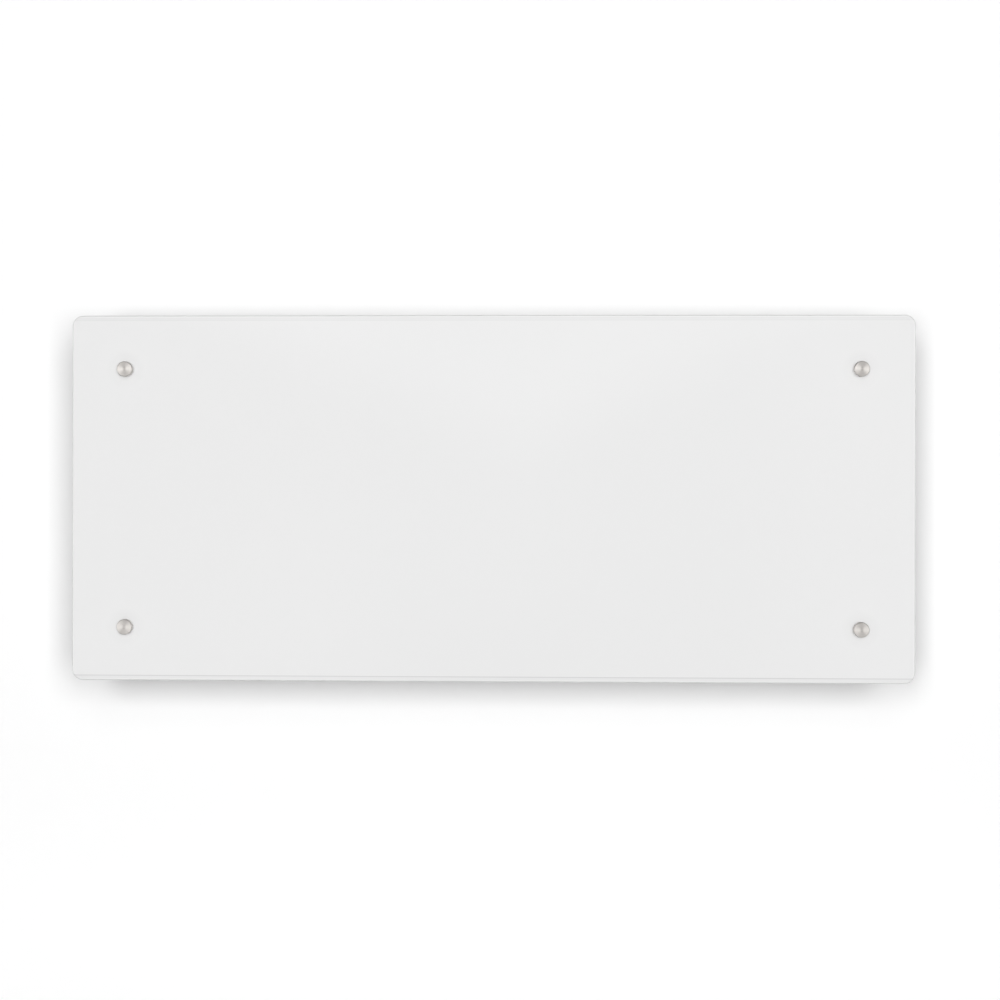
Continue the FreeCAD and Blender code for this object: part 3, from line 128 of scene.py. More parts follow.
class Look(Graph):
    """A procedural material: one Principled shader and the nodes that feed it."""

    def __init__(self, name, colour, roughness, **sockets):
        self.material = bpy.data.materials.new(name)
        super().__init__(self.material)
        self.shader = self.tree.nodes["Principled BSDF"]
        self.shader.inputs["Base Color"].default_value = (*colour, 1.0)
        self.shader.inputs["Roughness"].default_value = roughness
        for socket, value in sockets.items():
            self.shader.inputs[socket.replace("_", " ")].default_value = value
        self.place = self.add("ShaderNodeTexCoord").outputs["Object"]

    def to_shader(self, output, socket):
        self.tree.links.new(output, self.shader.inputs[socket])

    def noise(self, size, detail=3.0, place=None):
        """Noise whose features are about the given size across."""
        return self.add("ShaderNodeTexNoise", Vector=place or self.place, Scale=1.0 / size,
                        Detail=detail).outputs["Fac"]

    def spread(self, noise, low, high):
        """Noise turned into a range of values."""
        return self.ranged(noise, NOISE_LOW, NOISE_HIGH, low, high)

    def shades(self, factor, stops):
        """Colour ramp over a factor; stops are (position, colour)."""
        ramp = self.add("ShaderNodeValToRGB", Fac=factor)
        elements = ramp.color_ramp.elements
        while len(elements) < len(stops):
            elements.new(0.5)
        for element, (position, colour) in zip(elements, stops):
            element.position = position
            element.color = (*colour, 1.0)
        return ramp.outputs["Color"]

    def tints(self, factor, colour, low, high, start=NOISE_LOW, end=NOISE_HIGH):
        """One colour, tinted from low to high while a factor runs from start to end."""
        return self.shades(factor, [(start, tinted(colour, low)), (end, tinted(colour, high))])

    def tone(self, blend, first, second, factor=1.0):
        """Two colours put together by a blend."""
        node = self.add("ShaderNodeMix", {"data_type": "RGBA", "blend_type": blend}, _0=factor, _6=first,
                        _7=second)
        return node.outputs[2]

    def bump(self, height, depth, strength=1.0):
        """Surface relief from a height between 0 and 1, with its depth in metres."""
        node = self.add("ShaderNodeBump", Height=height, Distance=depth, Strength=strength)
        self.to_shader(node.outputs["Normal"], "Normal")


def mottled(name, colour, roughness, grain, contrast=0.06, relief=0.0, rough_range=0.08, **sockets):
    """Look with fine grain in its gloss and relief, and broader clouds in its colour."""
    look = Look(name, colour, roughness, **sockets)
    grains_per_cloud = 14
    coarse = look.noise(grain * grains_per_cloud, 4.0)
    fine = look.noise(grain, 2.0)
    look.to_shader(look.tints(coarse, colour, 1 - contrast, 1 + contrast), "Base Color")
    look.to_shader(look.spread(fine, roughness - rough_range, roughness + rough_range), "Roughness")
    if relief:
        look.bump(fine, relief, 0.6)
    return look.material


CAPS = ["screw_cap_top_left", "screw_cap_top_right", "screw_cap_bottom_left", "screw_cap_bottom_right"]
# How far the painted shade round each cap reaches on the glass, in cap radii.
CAP_SHADE_REACH = 2.6


def white_glass():
    """Back-painted glass: even white, with painted shade and light in a strip along its edges and a soft ring of
    painted shade round each cap.
    """
    white = grey(0.775)
    face = 0.94
    look = Look("white_glass", white, 0.07, IOR=1.5, Coat_Weight=0.3, Coat_Roughness=0.03)
    place = look.parts(look.place)
    half_x = (GLASS_HIGH[0] - GLASS_LOW[0]) / 2
    half_z = (GLASS_HIGH[2] - GLASS_LOW[2]) / 2
    from_side = look.maths("SUBTRACT", half_x, look.maths("ABSOLUTE", place["X"]))
    from_end = look.maths("SUBTRACT", half_z, look.maths("ABSOLUTE", place["Z"]))
    band_scale = 8

    def edge_shade(distance, edge, inner, line):
        """Painted shade by mm in from an edge: grey levels for the rounding, painted lighter than the face, the
        strip and the line where it ends.
        """
        steps = [(0.0, edge), (1.6, edge), (2.0, inner), (4.0, inner), (4.56, line), (5.44, face)]
        return look.shades(look.maths("DIVIDE", distance, band_scale * MM),
                           [(depth / band_scale, grey(level)) for depth, level in steps])

    # Painted shade: the line where the strip ends is painted darker along the bottom edge than along the top.
    upper = look.maths("GREATER_THAN", place["Z"], 0.0)
    ends = look.tone("MIX", edge_shade(from_end, 0.98, 0.91, 0.72), edge_shade(from_end, 0.98, 0.908, 0.88), upper)
    colour = look.tone("MULTIPLY", ends, edge_shade(from_side, 0.97, 0.935, 0.93))
    # Painted shade: the glass is darker in a soft ring round each cap.
    for cap in CAPS:
        low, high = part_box(cap)
        centre = middle(low, high)
        gap = look.vectors("DISTANCE", look.place, (centre[0], GLASS_FRONT, centre[2]))
        cap_radius = (high[0] - low[0]) / 2
        ring = look.shades(look.maths("DIVIDE", gap, CAP_SHADE_REACH * cap_radius),
                           [(0.36, grey(0.90)), (0.60, grey(0.97)), (1.0, grey(1.0))])
        colour = look.tone("MULTIPLY", colour, ring)
    # The painted edge shades on both axes darken the face once each, and the clouds make up for it.
    cloud = look.tints(look.noise(0.35, 1.0), white, 0.985 / face ** 2, 1 / face ** 2)
    look.to_shader(look.tone("MULTIPLY", colour, cloud), "Base Color")
    look.to_shader(look.spread(look.noise(0.02, 4.0), 0.06, 0.09), "Roughness")
    return look.material


def brushed_cap(node):
    """Steel turned on a lathe: fine rings about the cap's axis, with painted shade at its centre and a painted
    hourglass reflection, dark wedges above and below the centre.
    """
    low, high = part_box(node)
    centre = middle(low, high)
    cap_radius = (high[0] - low[0]) / 2
    steel = (0.71, 0.68, 0.65)
    look = Look("brushed_" + node, steel, 0.30, Metallic=1.0, Anisotropic=0.85, Anisotropic_Rotation=0.25)
    offset = look.vectors("SUBTRACT", look.place, (centre[0], 0.0, centre[2]))
    flat = look.vectors("MULTIPLY", offset, (1.0, 0.0, 1.0))
    radius = look.vectors("LENGTH", flat)
    ring_place = look.add("ShaderNodeCombineXYZ", X=radius).outputs[0]
    rings = look.noise(0.25 * MM, 3.0, ring_place)
    turned = look.tints(rings, steel, 0.84, 1.12)
    # Painted shade: the middle of the cap is darker.
    centre_shade = look.shades(look.maths("DIVIDE", radius, cap_radius),
                      [(0.0, grey(0.84)), (0.16, grey(0.88)), (0.30, grey(1.0))])
    # Painted reflection: the cap is darker in wedges above and below its centre than to its sides, the hourglass
    # that a spun finish mirrors.
    upright = look.parts(look.vectors("NORMALIZE", flat))["Z"]
    hourglass_reflection = look.shades(look.maths("ABSOLUTE", upright),
                       [(0.25, grey(1.0)), (0.62, grey(0.94)), (0.92, grey(0.84))])
    look.to_shader(look.tone("MULTIPLY", look.tone("MULTIPLY", turned, centre_shade), hourglass_reflection), "Base Color")
    look.to_shader(look.spread(rings, 0.28, 0.40), "Roughness")
    look.bump(rings, 0.02 * MM, 0.5)
    tangent = look.add("ShaderNodeTangent", {"direction_type": "RADIAL", "axis": "Y"})
    look.to_shader(tangent.outputs[0], "Tangent")
    return look.material


def galvanised():
    """Zinc-coated sheet with a flat crystal pattern."""
    zinc = (0.60, 0.615, 0.625)
    crystal = 6 * MM
    look = Look("galvanised_sheet", zinc, 0.52, Metallic=1.0)
    cells = look.add("ShaderNodeTexVoronoi", Vector=look.place, Scale=1.0 / crystal).outputs["Color"]
    tone = look.add("ShaderNodeSeparateColor", Color=cells).outputs["Red"]
    look.to_shader(look.tints(tone, zinc, 0.93, 1.06, 0.0, 1.0), "Base Color")
    look.to_shader(look.ranged(tone, 0.0, 1.0, 0.44, 0.60), "Roughness")
    look.bump(look.noise(1.2 * MM, 3.0), 0.04 * MM, 0.4)
    return look.material


def drawn_metal(name, colour, roughness, along, line):
    """Metal with fine lines along one axis, as from drawing or extrusion."""
    look = Look(name, colour, roughness, Metallic=1.0)
    stretch = [1.0, 1.0, 1.0]
    stretch[along] = 0.02
    lines = look.noise(line, 3.0, look.vectors("MULTIPLY", look.place, stretch))
    rough_range = 0.08
    look.to_shader(look.tints(lines, colour, 0.86, 1.1), "Base Color")
    look.to_shader(look.spread(lines, roughness - rough_range, roughness + rough_range), "Roughness")
    look.bump(lines, 0.03 * MM, 0.5)
    return look.material


def braided(name, colour):
    """Woven glass-fibre sleeve."""
    look = Look(name, colour, 0.85)
    strand = 2.4 * MM
    weave = look.add("ShaderNodeTexWave", {"bands_direction": "DIAGONAL"}, Vector=look.place,
                     Scale=1.0 / strand, Distortion=1.5).outputs["Fac"]
    look.to_shader(look.tints(weave, colour, 0.75, 1.08, 0.0, 1.0), "Base Color")
    look.bump(weave, 0.1 * MM, 0.7)
    return look.material


def glowing(name, colour):
    """Lit digit, seen through smoked plastic."""
    look = Look(name, colour, 0.4, Emission_Strength=0.8)
    tone = look.noise(1.5 * MM, 2.0)
    look.to_shader(look.tints(tone, colour, 0.9, 1.0), "Base Color")
    look.to_shader(look.tints(tone, colour, 0.85, 1.0), "Emission Color")
    return look.material


# Mottled looks have a colour, roughness, grain, contrast and depth of relief, and drawn ones a colour,
# roughness, the axis of the lines and their width.
looks = {
    "white_glass": white_glass(),
    "white_powder_coat": mottled("white_powder_coat", (0.76, 0.76, 0.75), 0.46, 0.5 * MM, 0.02, 0.05 * MM),
    "galvanised_sheet": galvanised(),
    "zinc_steel": mottled("zinc_steel", (0.60, 0.61, 0.63), 0.34, 0.6 * MM, 0.10, 0.02 * MM, Metallic=1.0),
    "turned_aluminium": drawn_metal("turned_aluminium", (0.70, 0.71, 0.72), 0.32, 0, 0.25 * MM),
    "shield_aluminium": drawn_metal("shield_aluminium", (0.76, 0.77, 0.78), 0.28, 0, 0.8 * MM),
    "element_aluminium": drawn_metal("element_aluminium", (0.62, 0.63, 0.64), 0.40, 0, 0.5 * MM),
    "element_steel": drawn_metal("element_steel", (0.42, 0.41, 0.40), 0.38, 0, 0.4 * MM),
    "white_ceramic": mottled("white_ceramic", (0.80, 0.78, 0.72), 0.70, 0.4 * MM, 0.05, 0.03 * MM),
    "black_rubber": mottled("black_rubber", (0.028, 0.028, 0.028), 0.78, 0.4 * MM, 0.25, 0.05 * MM),
    "red_silicone": mottled("red_silicone", (0.45, 0.10, 0.06), 0.62, 0.4 * MM, 0.08, 0.03 * MM),
    "clear_silicone": mottled("clear_silicone", (0.72, 0.72, 0.71), 0.55, 0.4 * MM, 0.04, 0.03 * MM),
    "white_nylon": mottled("white_nylon", (0.76, 0.76, 0.73), 0.50, 0.4 * MM, 0.03, 0.03 * MM),
    "grey_fascia": mottled("grey_fascia", (0.105, 0.108, 0.112), 0.52, 0.35 * MM, 0.10, 0.06 * MM),
    "pale_keys": mottled("pale_keys", (0.58, 0.59, 0.59), 0.42, 0.3 * MM, 0.03, 0.02 * MM),
    "smoked_window": mottled("smoked_window", (0.012, 0.012, 0.014), 0.09, 2.0 * MM, 0.20, 0.0, 0.03,
                             Coat_Weight=0.5),
    "black_plastic": mottled("black_plastic", (0.022, 0.022, 0.023), 0.44, 0.35 * MM, 0.20, 0.04 * MM),
    "housing_plastic": mottled("housing_plastic", (0.52, 0.52, 0.50), 0.55, 0.4 * MM, 0.04, 0.04 * MM),
    "green_board": mottled("green_board", (0.02, 0.15, 0.06), 0.36, 1.2 * MM, 0.18, 0.02 * MM),
    "relay_blue": mottled("relay_blue", (0.03, 0.10, 0.34), 0.40, 0.4 * MM, 0.08, 0.02 * MM),
    "connector_cream": mottled("connector_cream", (0.70, 0.66, 0.54), 0.50, 0.4 * MM, 0.04, 0.03 * MM),
    "radio_can": drawn_metal("radio_can", (0.64, 0.64, 0.63), 0.36, 2, 0.3 * MM),
    "cutout_body": mottled("cutout_body", (0.22, 0.17, 0.14), 0.60, 0.5 * MM, 0.10, 0.03 * MM),
    "tinned_brass": drawn_metal("tinned_brass", (0.66, 0.55, 0.28), 0.32, 2, 0.3 * MM),
    "wire_insulation": braided("wire_insulation", (0.66, 0.65, 0.60)),
    "earth_insulation": braided("earth_insulation", (0.18, 0.36, 0.06)),
    "sensor_black": mottled("sensor_black", (0.03, 0.03, 0.03), 0.50, 0.4 * MM, 0.15, 0.02 * MM),
    "key_mark": mottled("key_mark", (0.06, 0.06, 0.065), 0.55, 0.3 * MM, 0.10, 0.01 * MM),
    "pale_mark": mottled("pale_mark", (0.70, 0.70, 0.69), 0.55, 0.3 * MM, 0.04, 0.01 * MM),
    "lit_digit": glowing("lit_digit", (0.86, 0.90, 0.92)),
}


def dress(obj, look):
    """Puts one material on every slot of an object."""
    if not obj.material_slots:
        obj.data.materials.append(look)
    for slot in obj.material_slots:
        slot.material = look


for entry in frame["record"]["subparts"]:
    name = entry["node"]
    slot = entry["material_slot"]
    dress(nodes[name], brushed_cap(name) if slot == "brushed_cap" else looks[slot])


# Shapes in mesh code, each a list of vertices and a list of faces

WELD = 1e-7
SHARP_EDGE = math.radians(35)


def circle(radius, count):
    """Points round a circle."""
    turns = [2 * math.pi * i / count for i in range(count)]
    return [(radius * math.cos(turn), radius * math.sin(turn)) for turn in turns]


def slab(outline, place):
    """Flat shape: an outline of (across, up) pairs, one unit thick, set by a matrix."""
    count = len(outline)
    vertices = [place @ Vector((u, v, w)) for w in (0.0, 1.0) for u, v in outline]
    faces = [tuple(range(count))[::-1], tuple(range(count, 2 * count))]
    faces += [(i, (i + 1) % count, count + (i + 1) % count, count + i) for i in range(count)]
    return vertices, faces


def ring_slab(outer, inner, place, count=40):
    """Flat ring, one unit thick, set by a matrix."""
    vertices = [place @ Vector((u, v, w)) for w in (0.0, 1.0) for radius in (outer, inner)
                for u, v in circle(radius, count)]
    low_outer, low_inner, high_outer, high_inner = 0, count, 2 * count, 3 * count
    faces = []
    for i in range(count):
        j = (i + 1) % count
        faces += [(low_outer + i, low_outer + j, high_outer + j, high_outer + i),
                  (low_inner + i, high_inner + i, high_inner + j, low_inner + j),
                  (low_outer + i, low_inner + i, low_inner + j, low_outer + j),
                  (high_outer + i, high_outer + j, high_inner + j, high_inner + i)]
    return vertices, faces


def revolved(profile, place, count=28):
    """Turned shape: a profile of (radius, height) pairs about +Z, closed at both ends, set by a matrix."""
    vertices = [place @ Vector((u, v, height)) for radius, height in profile
                for u, v in circle(radius, count)]
    faces = []
    last = (len(profile) - 1) * count
    for start in range(0, last, count):
        for i in range(count):
            j = (i + 1) % count
            faces.append((start + i, start + j, start + count + j, start + count + i))
    faces.append(tuple(range(count))[::-1])
    faces.append(tuple(range(last, last + count)))
    return vertices, faces


def placed(shape, place):
    """A shape moved by a matrix."""
    vertices, faces = shape
    return [place @ v for v in vertices], faces


def merged(shapes):
    """Several shapes as one."""
    vertices = []
    faces = []
    for shape_vertices, shape_faces in shapes:
        start = len(vertices)
        vertices += list(shape_vertices)
        faces += [tuple(start + i for i in face) for face in shape_faces]
    return vertices, faces


def mesh_object(name, shape, weld=False):
    """Object from a shape, with its faces turned outwards and, if wished, doubled points joined."""
    vertices, faces = shape
    mesh = bpy.data.meshes.new(name)
    mesh.from_pydata([tuple(v) for v in vertices], [], faces)
    work = bmesh.new()
    work.from_mesh(mesh)
    if weld:
        bmesh.ops.remove_doubles(work, verts=work.verts, dist=WELD)
    bmesh.ops.recalc_face_normals(work, faces=work.faces)
    work.to_mesh(mesh)
    work.free()
    obj = bpy.data.objects.new(name, mesh)
    bpy.context.scene.collection.objects.link(obj)
    return obj


def piece(name, shapes, body, look, smooth=False):
    """Piece of the part, made of shapes, that rides on a body and takes its finish from a slot."""
    obj = mesh_object(name, merged(shapes), weld=True)
    if smooth:
        obj.data.shade_smooth()
        obj.data.set_sharp_from_angle(angle=SHARP_EDGE)
    dress(obj, looks[look])
    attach(obj, body)
    return obj


# Marks on the controls

MARK_RISE = 0.12 * MM
MARK_SINK = 0.03 * MM
KEY_SIGN_SIZE = 5.0 * MM
KEY_SIGN_STROKE = 0.9 * MM
KEY_RING_OUTER = 2.4 * MM
KEY_RING_INNER = 1.6 * MM


def on_side(x, y, z, thickness):
    """Matrix for marks on the control side: across is +Y, up is +Z, thickness along +X."""
    turn = Matrix(((0, 0, 1), (1, 0, 0), (0, 1, 0))).to_4x4()
    return Matrix.Translation((x, y, z)) @ turn @ Matrix.Diagonal((1, 1, thickness, 1))


def on_face(node, thickness):
    """Matrix for marks in the middle of a node's outer face on the control side."""
    low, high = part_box(node)
    centre = middle(low, high)
    return on_side(high[0] - MARK_SINK, centre[1], centre[2], thickness)


def bar(width, height):
    """Outline of a round-ended upright or lying bar."""
    radius = min(width, height) / 2
    reach_u = width / 2 - radius
    reach_v = height / 2 - radius
    steps = 6
    outline = []
    for quarter, (su, sv) in enumerate(((1, 1), (-1, 1), (-1, -1), (1, -1))):
        for step in range(steps + 1):
            turn = math.pi / 2 * (quarter + step / steps)
            outline.append((su * reach_u + radius * math.cos(turn), sv * reach_v + radius * math.sin(turn)))
    return outline


def plus_outline(size, stroke):
    """Outline of a plus sign."""
    a = size / 2
    b = stroke / 2
    return [(b, b), (b, a), (-b, a), (-b, b), (-a, b), (-a, -b),
            (-b, -b), (-b, -a), (b, -a), (b, -b), (a, -b), (a, b)]


def key_mark(node, body, sign):
    """Printed sign on a button's face."""
    place = on_face(node, MARK_RISE)
    if sign == "plus":
        shape = slab(plus_outline(KEY_SIGN_SIZE, KEY_SIGN_STROKE), place)
    elif sign == "minus":
        shape = slab(bar(KEY_SIGN_SIZE, KEY_SIGN_STROKE), place)
    else:
        shape = ring_slab(KEY_RING_OUTER, KEY_RING_INNER, place)
    return piece(node + "_mark", [shape], body, "key_mark")


key_mark("plus_button", "plus_key", "plus")
key_mark("minus_button", "minus_key", "minus")
key_mark("mode_button", "mode_key", "ring")

# The rocker's two faces: their length, and their height over its pivot at the ends and in the middle.
ROCKER_REST_TILT = math.radians(10.0)
ROCKER_FACE_LENGTH = 7.6 * MM
ROCKER_END_RISE = 3.2 * MM
ROCKER_MIDDLE_RISE = 1.2 * MM


def rocker_marks():
    """I and O on the two faces of the rocker, which meet at a shallow valley."""
    joint = next(j for j in frame["joints"] if j["name"] == "rocker_tilt")
    slope = math.atan2(ROCKER_END_RISE - ROCKER_MIDDLE_RISE, ROCKER_FACE_LENGTH)
    rocker = Matrix.Translation(Vector(joint["pos_m"])) @ Matrix.Rotation(ROCKER_REST_TILT, 4, "Y")

    def on_rocker(side):
        """Matrix for a mark in the middle of the upper (1) or lower (-1) face."""
        rise = (ROCKER_END_RISE + ROCKER_MIDDLE_RISE) / 2 - MARK_SINK
        spot = Matrix.Translation(Vector((rise, 0.0, side * ROCKER_FACE_LENGTH / 2)))
        return rocker @ spot @ Matrix.Rotation(side * slope, 4, "Y") @ on_side(0, 0, 0, MARK_RISE)

    shapes = [slab(bar(0.7 * MM, 3.6 * MM), on_rocker(1)), ring_slab(1.7 * MM, 1.1 * MM, on_rocker(-1))]
    return piece("rocker_marks", shapes, "rocker", "pale_mark")


rocker_marks()

DIGIT_THICKNESS = 0.06 * MM
DIGIT_WIDTH = 3.2 * MM
DIGIT_HEIGHT = 7.0 * MM
DIGIT_STROKE = 0.75 * MM
DIGIT_UP = 5.0 * MM
DIGITS_ACROSS = {"2": -3.6 * MM, "1": 1.2 * MM}
SEGMENTS = {"1": "bc", "2": "abged"}


def segment_outline(length, width):
    """Outline of one lying display segment with pointed ends."""
    a = length / 2
    b = width / 2
    return [(a, 0), (a - b, b), (b - a, b), (-a, 0), (b - a, -b), (a - b, -b)]


def digit(symbol, across, place):
    """Shapes of one seven-segment digit, whose segments a to g are placed by their middles."""
    quarter = DIGIT_HEIGHT / 4
    side = DIGIT_WIDTH / 2
    lying = {"a": (0, 2 * quarter), "g": (0, 0), "d": (0, -2 * quarter)}
    upright = {"b": (side, quarter), "c": (side, -quarter), "f": (-side, quarter), "e": (-side, -quarter)}
    gap = 0.25 * DIGIT_STROKE
    shapes = []
    for segment in SEGMENTS[symbol]:
        if segment in upright:
            u0, v0 = upright[segment]
            outline = [(-v, u) for u, v in segment_outline(2 * quarter - gap, DIGIT_STROKE)]
        else:
            u0, v0 = lying[segment]
            outline = segment_outline(DIGIT_WIDTH - gap, DIGIT_STROKE)
        shapes.append(slab([(across + u0 + u, DIGIT_UP + v0 + v) for u, v in outline], place))
    return shapes


def display_digits():
    """Room temperature in two digits, with a small ring for degrees and three level bars."""
    place = on_face("display_window", DIGIT_THICKNESS)
    shapes = []
    for symbol, across in DIGITS_ACROSS.items():
        shapes += digit(symbol, across, place)
    degree_spot = Matrix.Translation((5.0 * MM, 8.0 * MM, 0))
    shapes.append(ring_slab(0.75 * MM, 0.4 * MM, place @ degree_spot, 24))
    for step in range(3):
        spot = place @ Matrix.Translation((0, (-4.5 - 2.4 * step) * MM, 0))
        shapes.append(slab(bar((7.0 - 1.6 * step) * MM, 0.8 * MM), spot))
    return piece("display_digits", shapes, "heater", "lit_digit")


display_digits()


# Screws and rivets in place of the plain ones

def screw_profile(head_diameter, head_height, shank_diameter, shank_length):
    """Profile of a pan-headed screw along +Z with its seat at zero, from the tip of its ribbed shank."""
    crest = shank_diameter * 0.5
    core = shank_diameter * 0.4
    pitch = shank_diameter * 0.35
    profile = [(shank_diameter * 0.12, -shank_length), (core, -shank_length + core)]
    for i in range(int((shank_length - 2 * crest) / pitch)):
        level = -shank_length + crest + i * pitch
        profile += [(core, level), (crest, level + pitch * 0.4), (core, level + pitch * 0.8)]
    radius = head_diameter / 2
    profile += [(shank_diameter * 0.45, 0.0), (radius * 0.97, 0.0), (radius, head_height * 0.15)]
    dome_steps = 6
    flat_top = 0.82
    dome_start = 0.35
    for step in range(dome_steps + 1):
        lift = step / dome_steps * math.pi / 2
        profile.append((radius * math.cos(lift * flat_top),
                        head_height * (dome_start + (1 - dome_start) * math.sin(lift))))
    return profile


def cross_headed(head_diameter, head_height, shank_diameter, shank_length):
    """Pan-headed screw along +Z with its seat at zero and a cross recess cut into its head."""
    profile = screw_profile(head_diameter, head_height, shank_diameter, shank_length)
    blank = mesh_object("screw_blank", revolved(profile, Matrix.Identity(4)))
    radius = head_diameter / 2
    arm = radius * 0.62
    stroke = radius * 0.13
    deep = head_height * 0.75
    top = head_height * 1.3
    place = Matrix.Translation((0, 0, top - deep)) @ Matrix.Diagonal((1, 1, 2 * deep, 1))
    cutter = mesh_object("screw_recess", slab(plus_outline(2 * arm, 2 * stroke), place))
    recess = blank.modifiers.new("recess", "BOOLEAN")
    recess.operation = "DIFFERENCE"
    recess.object = cutter
    graph = bpy.context.evaluated_depsgraph_get()
    result = bpy.data.meshes.new_from_object(blank.evaluated_get(graph))
    bpy.data.objects.remove(blank)
    bpy.data.objects.remove(cutter)
    return [v.co.copy() for v in result.vertices], [tuple(p.vertices) for p in result.polygons]


def set_along(seat, outward, spin):
    """Matrix that stands a turned shape on a seat, along an outward direction."""
    turn = Vector((0, 0, 1)).rotation_difference(Vector(outward)).to_matrix().to_4x4()
    return Matrix.Translation(seat) @ turn @ Matrix.Rotation(spin, 4, "Z")


def loose_parts(node):
    """Box of each separate solid in a node's mesh, in a steady order."""
    shape = bmesh.new()
    shape.from_mesh(nodes[node].data)
    bmesh.ops.remove_doubles(shape, verts=shape.verts, dist=1e-6)
    seen = set()
    boxes = []
    for start in shape.verts:
        if start in seen:
            continue
        stack = [start]
        seen.add(start)
        points = []
        while stack:
            vertex = stack.pop()
            points.append(vertex.co.copy())
            for edge in vertex.link_edges:
                other = edge.other_vert(vertex)
                if other not in seen:
                    seen.add(other)
                    stack.append(other)
        low = Vector([min(p[i] for p in points) for i in range(3)])
        high = Vector([max(p[i] for p in points) for i in range(3)])
        boxes.append((low, high))
    shape.free()
    return sorted(boxes, key=lambda b: tuple(round(c, 5) for c in b[0]))


SCREW_HEAD_HEIGHT = 2.0 * MM
SCREW_DIAMETER = 3.5 * MM


def rim_screws():
    """Twelve cross-headed screws round the casing, each turned a little differently."""
    casing_low, casing_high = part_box("front_casing")
    screw = cross_headed(7.0 * MM, SCREW_HEAD_HEIGHT, SCREW_DIAMETER, 8.0 * MM)
    spin_step = 0.7
    shapes = []
    for index, (low, high) in enumerate(loose_parts("rim_screws")):
        for axis in (0, 2):
            for edge, sign in ((casing_low[axis], -1), (casing_high[axis], 1)):
                if low[axis] < edge < high[axis]:
                    outward = [0, 0, 0]
                    outward[axis] = sign
                    seat = (low + high) / 2
                    seat[axis] = edge
                    shapes.append(placed(screw, set_along(seat, outward, spin_step * index)))
    obj = piece("rim_screw_set", shapes, "heater", "zinc_steel", smooth=True)
    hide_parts("rim_screws")


def inlet_screws():
    """Two cross-headed screws that hold the cord inlet."""
    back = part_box("cord_inlet")[1][1]
    screw = cross_headed(6.5 * MM, SCREW_HEAD_HEIGHT, SCREW_DIAMETER, 22.0 * MM)
    first_spin = 0.4
    spin_step = 0.9
    shapes = []
    for index, (low, high) in enumerate(loose_parts("inlet_screws")):
        seat = (low + high) / 2
        seat[1] = back
        shapes.append(placed(screw, set_along(seat, (0, 1, 0), first_spin + spin_step * index)))
    obj = piece("inlet_screw_set", shapes, "heater", "zinc_steel", smooth=True)
    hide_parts("inlet_screws")


# Radius and height in mm. The tail is measured from its inner end, and the head from the cover's back.
RIVET_TAIL = [(0.4, 0.0), (2.6, 0.2), (3.1, 0.9), (1.6, 0.9)]
RIVET_HEAD = [(1.6, 0.0), (3.2, 0.0), (3.15, 0.25), (2.6, 0.7), (1.9, 0.88), (1.25, 0.9), (1.0, 0.72),
              (0.95, -0.4), (0.3, -0.3)]


def blind_rivets():
    """Domed blind rivets with a pulled centre, through the rear cover."""
    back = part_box("rear_cover")[1][1]
    head = [(radius * MM, height * MM) for radius, height in RIVET_HEAD]
    shapes = []
    for low, high in loose_parts("cover_rivets"):
        depth = back - low[1]
        tail = [(radius * MM, height * MM - depth) for radius, height in RIVET_TAIL]
        seat = (low + high) / 2
        seat[1] = back
        shapes.append(revolved(tail + head, set_along(seat, (0, 1, 0), 0.0)))
    obj = piece("cover_rivet_set", shapes, "heater", "turned_aluminium", smooth=True)
    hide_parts("cover_rivets")


rim_screws()
inlet_screws()
blind_rivets()


# Stage

ROOM = 2.4
FLOOR_Z = -0.56
WALL_Y = 0.0006
WALL_WHITE = 0.96
WALL_GLOW = 0.01
FLOOR_PALE = 0.32
FLOOR_GLOW = 0.60

# The wall grows paler between these heights, where the lamps reach it less.
WALL_LOW_WHITE = 0.996
WALL_LOW_Z = -0.46
WALL_EVEN_Z = -0.22


def panel(name, corners, material):
    """Flat stage surface with its front on the side from which its corners run anticlockwise."""
    mesh = bpy.data.meshes.new(name)
    mesh.from_pydata(corners, [], [(0, 1, 2, 3)])
    obj = bpy.data.objects.new(name, mesh)
    bpy.context.scene.collection.objects.link(obj)
    obj.data.materials.append(material)
    return obj


def matt_stage(name, level, glow):
    """Matt look that glows for rays that look at it or mirror it, and the outputs of its Light Path."""
    look = Look(name, grey(level), 1.0, Specular_IOR_Level=0.0, Emission_Color=(1.0, 1.0, 1.0, 1.0))
    path = look.add("ShaderNodeLightPath").outputs
    looked_at = path["Is Camera Ray"]
    for kind in ("Is Glossy Ray", "Is Transmission Ray"):
        looked_at = look.maths("MAXIMUM", looked_at, path[kind])
    look.to_shader(look.maths("MULTIPLY", looked_at, glow), "Emission Strength")
    return look, path


def one_sided(look, also_clear=0.0):
    """Makes a stage look clear from behind, and wherever a factor is 1."""
    behind = look.add("ShaderNodeNewGeometry").outputs["Backfacing"]
    clear = look.add("ShaderNodeBsdfTransparent")
    look.surface(look.maths("MAXIMUM", behind, also_clear), look.shader.outputs[0], clear.outputs[0])
    return look.material


def wall_look():
    """White wall for the camera alone.

    Other rays pass, so the lamps behind it light the heater's back. It stops their light only on the way to
    what a bounce has reached, so that this light doesn't get round to the wall's own front.
    """
    look, path = matt_stage("wall_white", WALL_WHITE, WALL_GLOW)
    height = look.parts(look.place)["Z"]
    paler = look.ranged(height, WALL_LOW_Z, WALL_EVEN_Z, WALL_LOW_WHITE, WALL_WHITE, "SMOOTHSTEP")
    look.to_shader(paler, "Base Color")
    not_camera = look.maths("SUBTRACT", 1.0, path["Is Camera Ray"])
    bounced = look.maths("GREATER_THAN", path["Diffuse Depth"], 0.5)
    stopped = look.maths("MULTIPLY", path["Is Shadow Ray"], bounced)
    return one_sided(look, look.maths("SUBTRACT", not_camera, stopped))


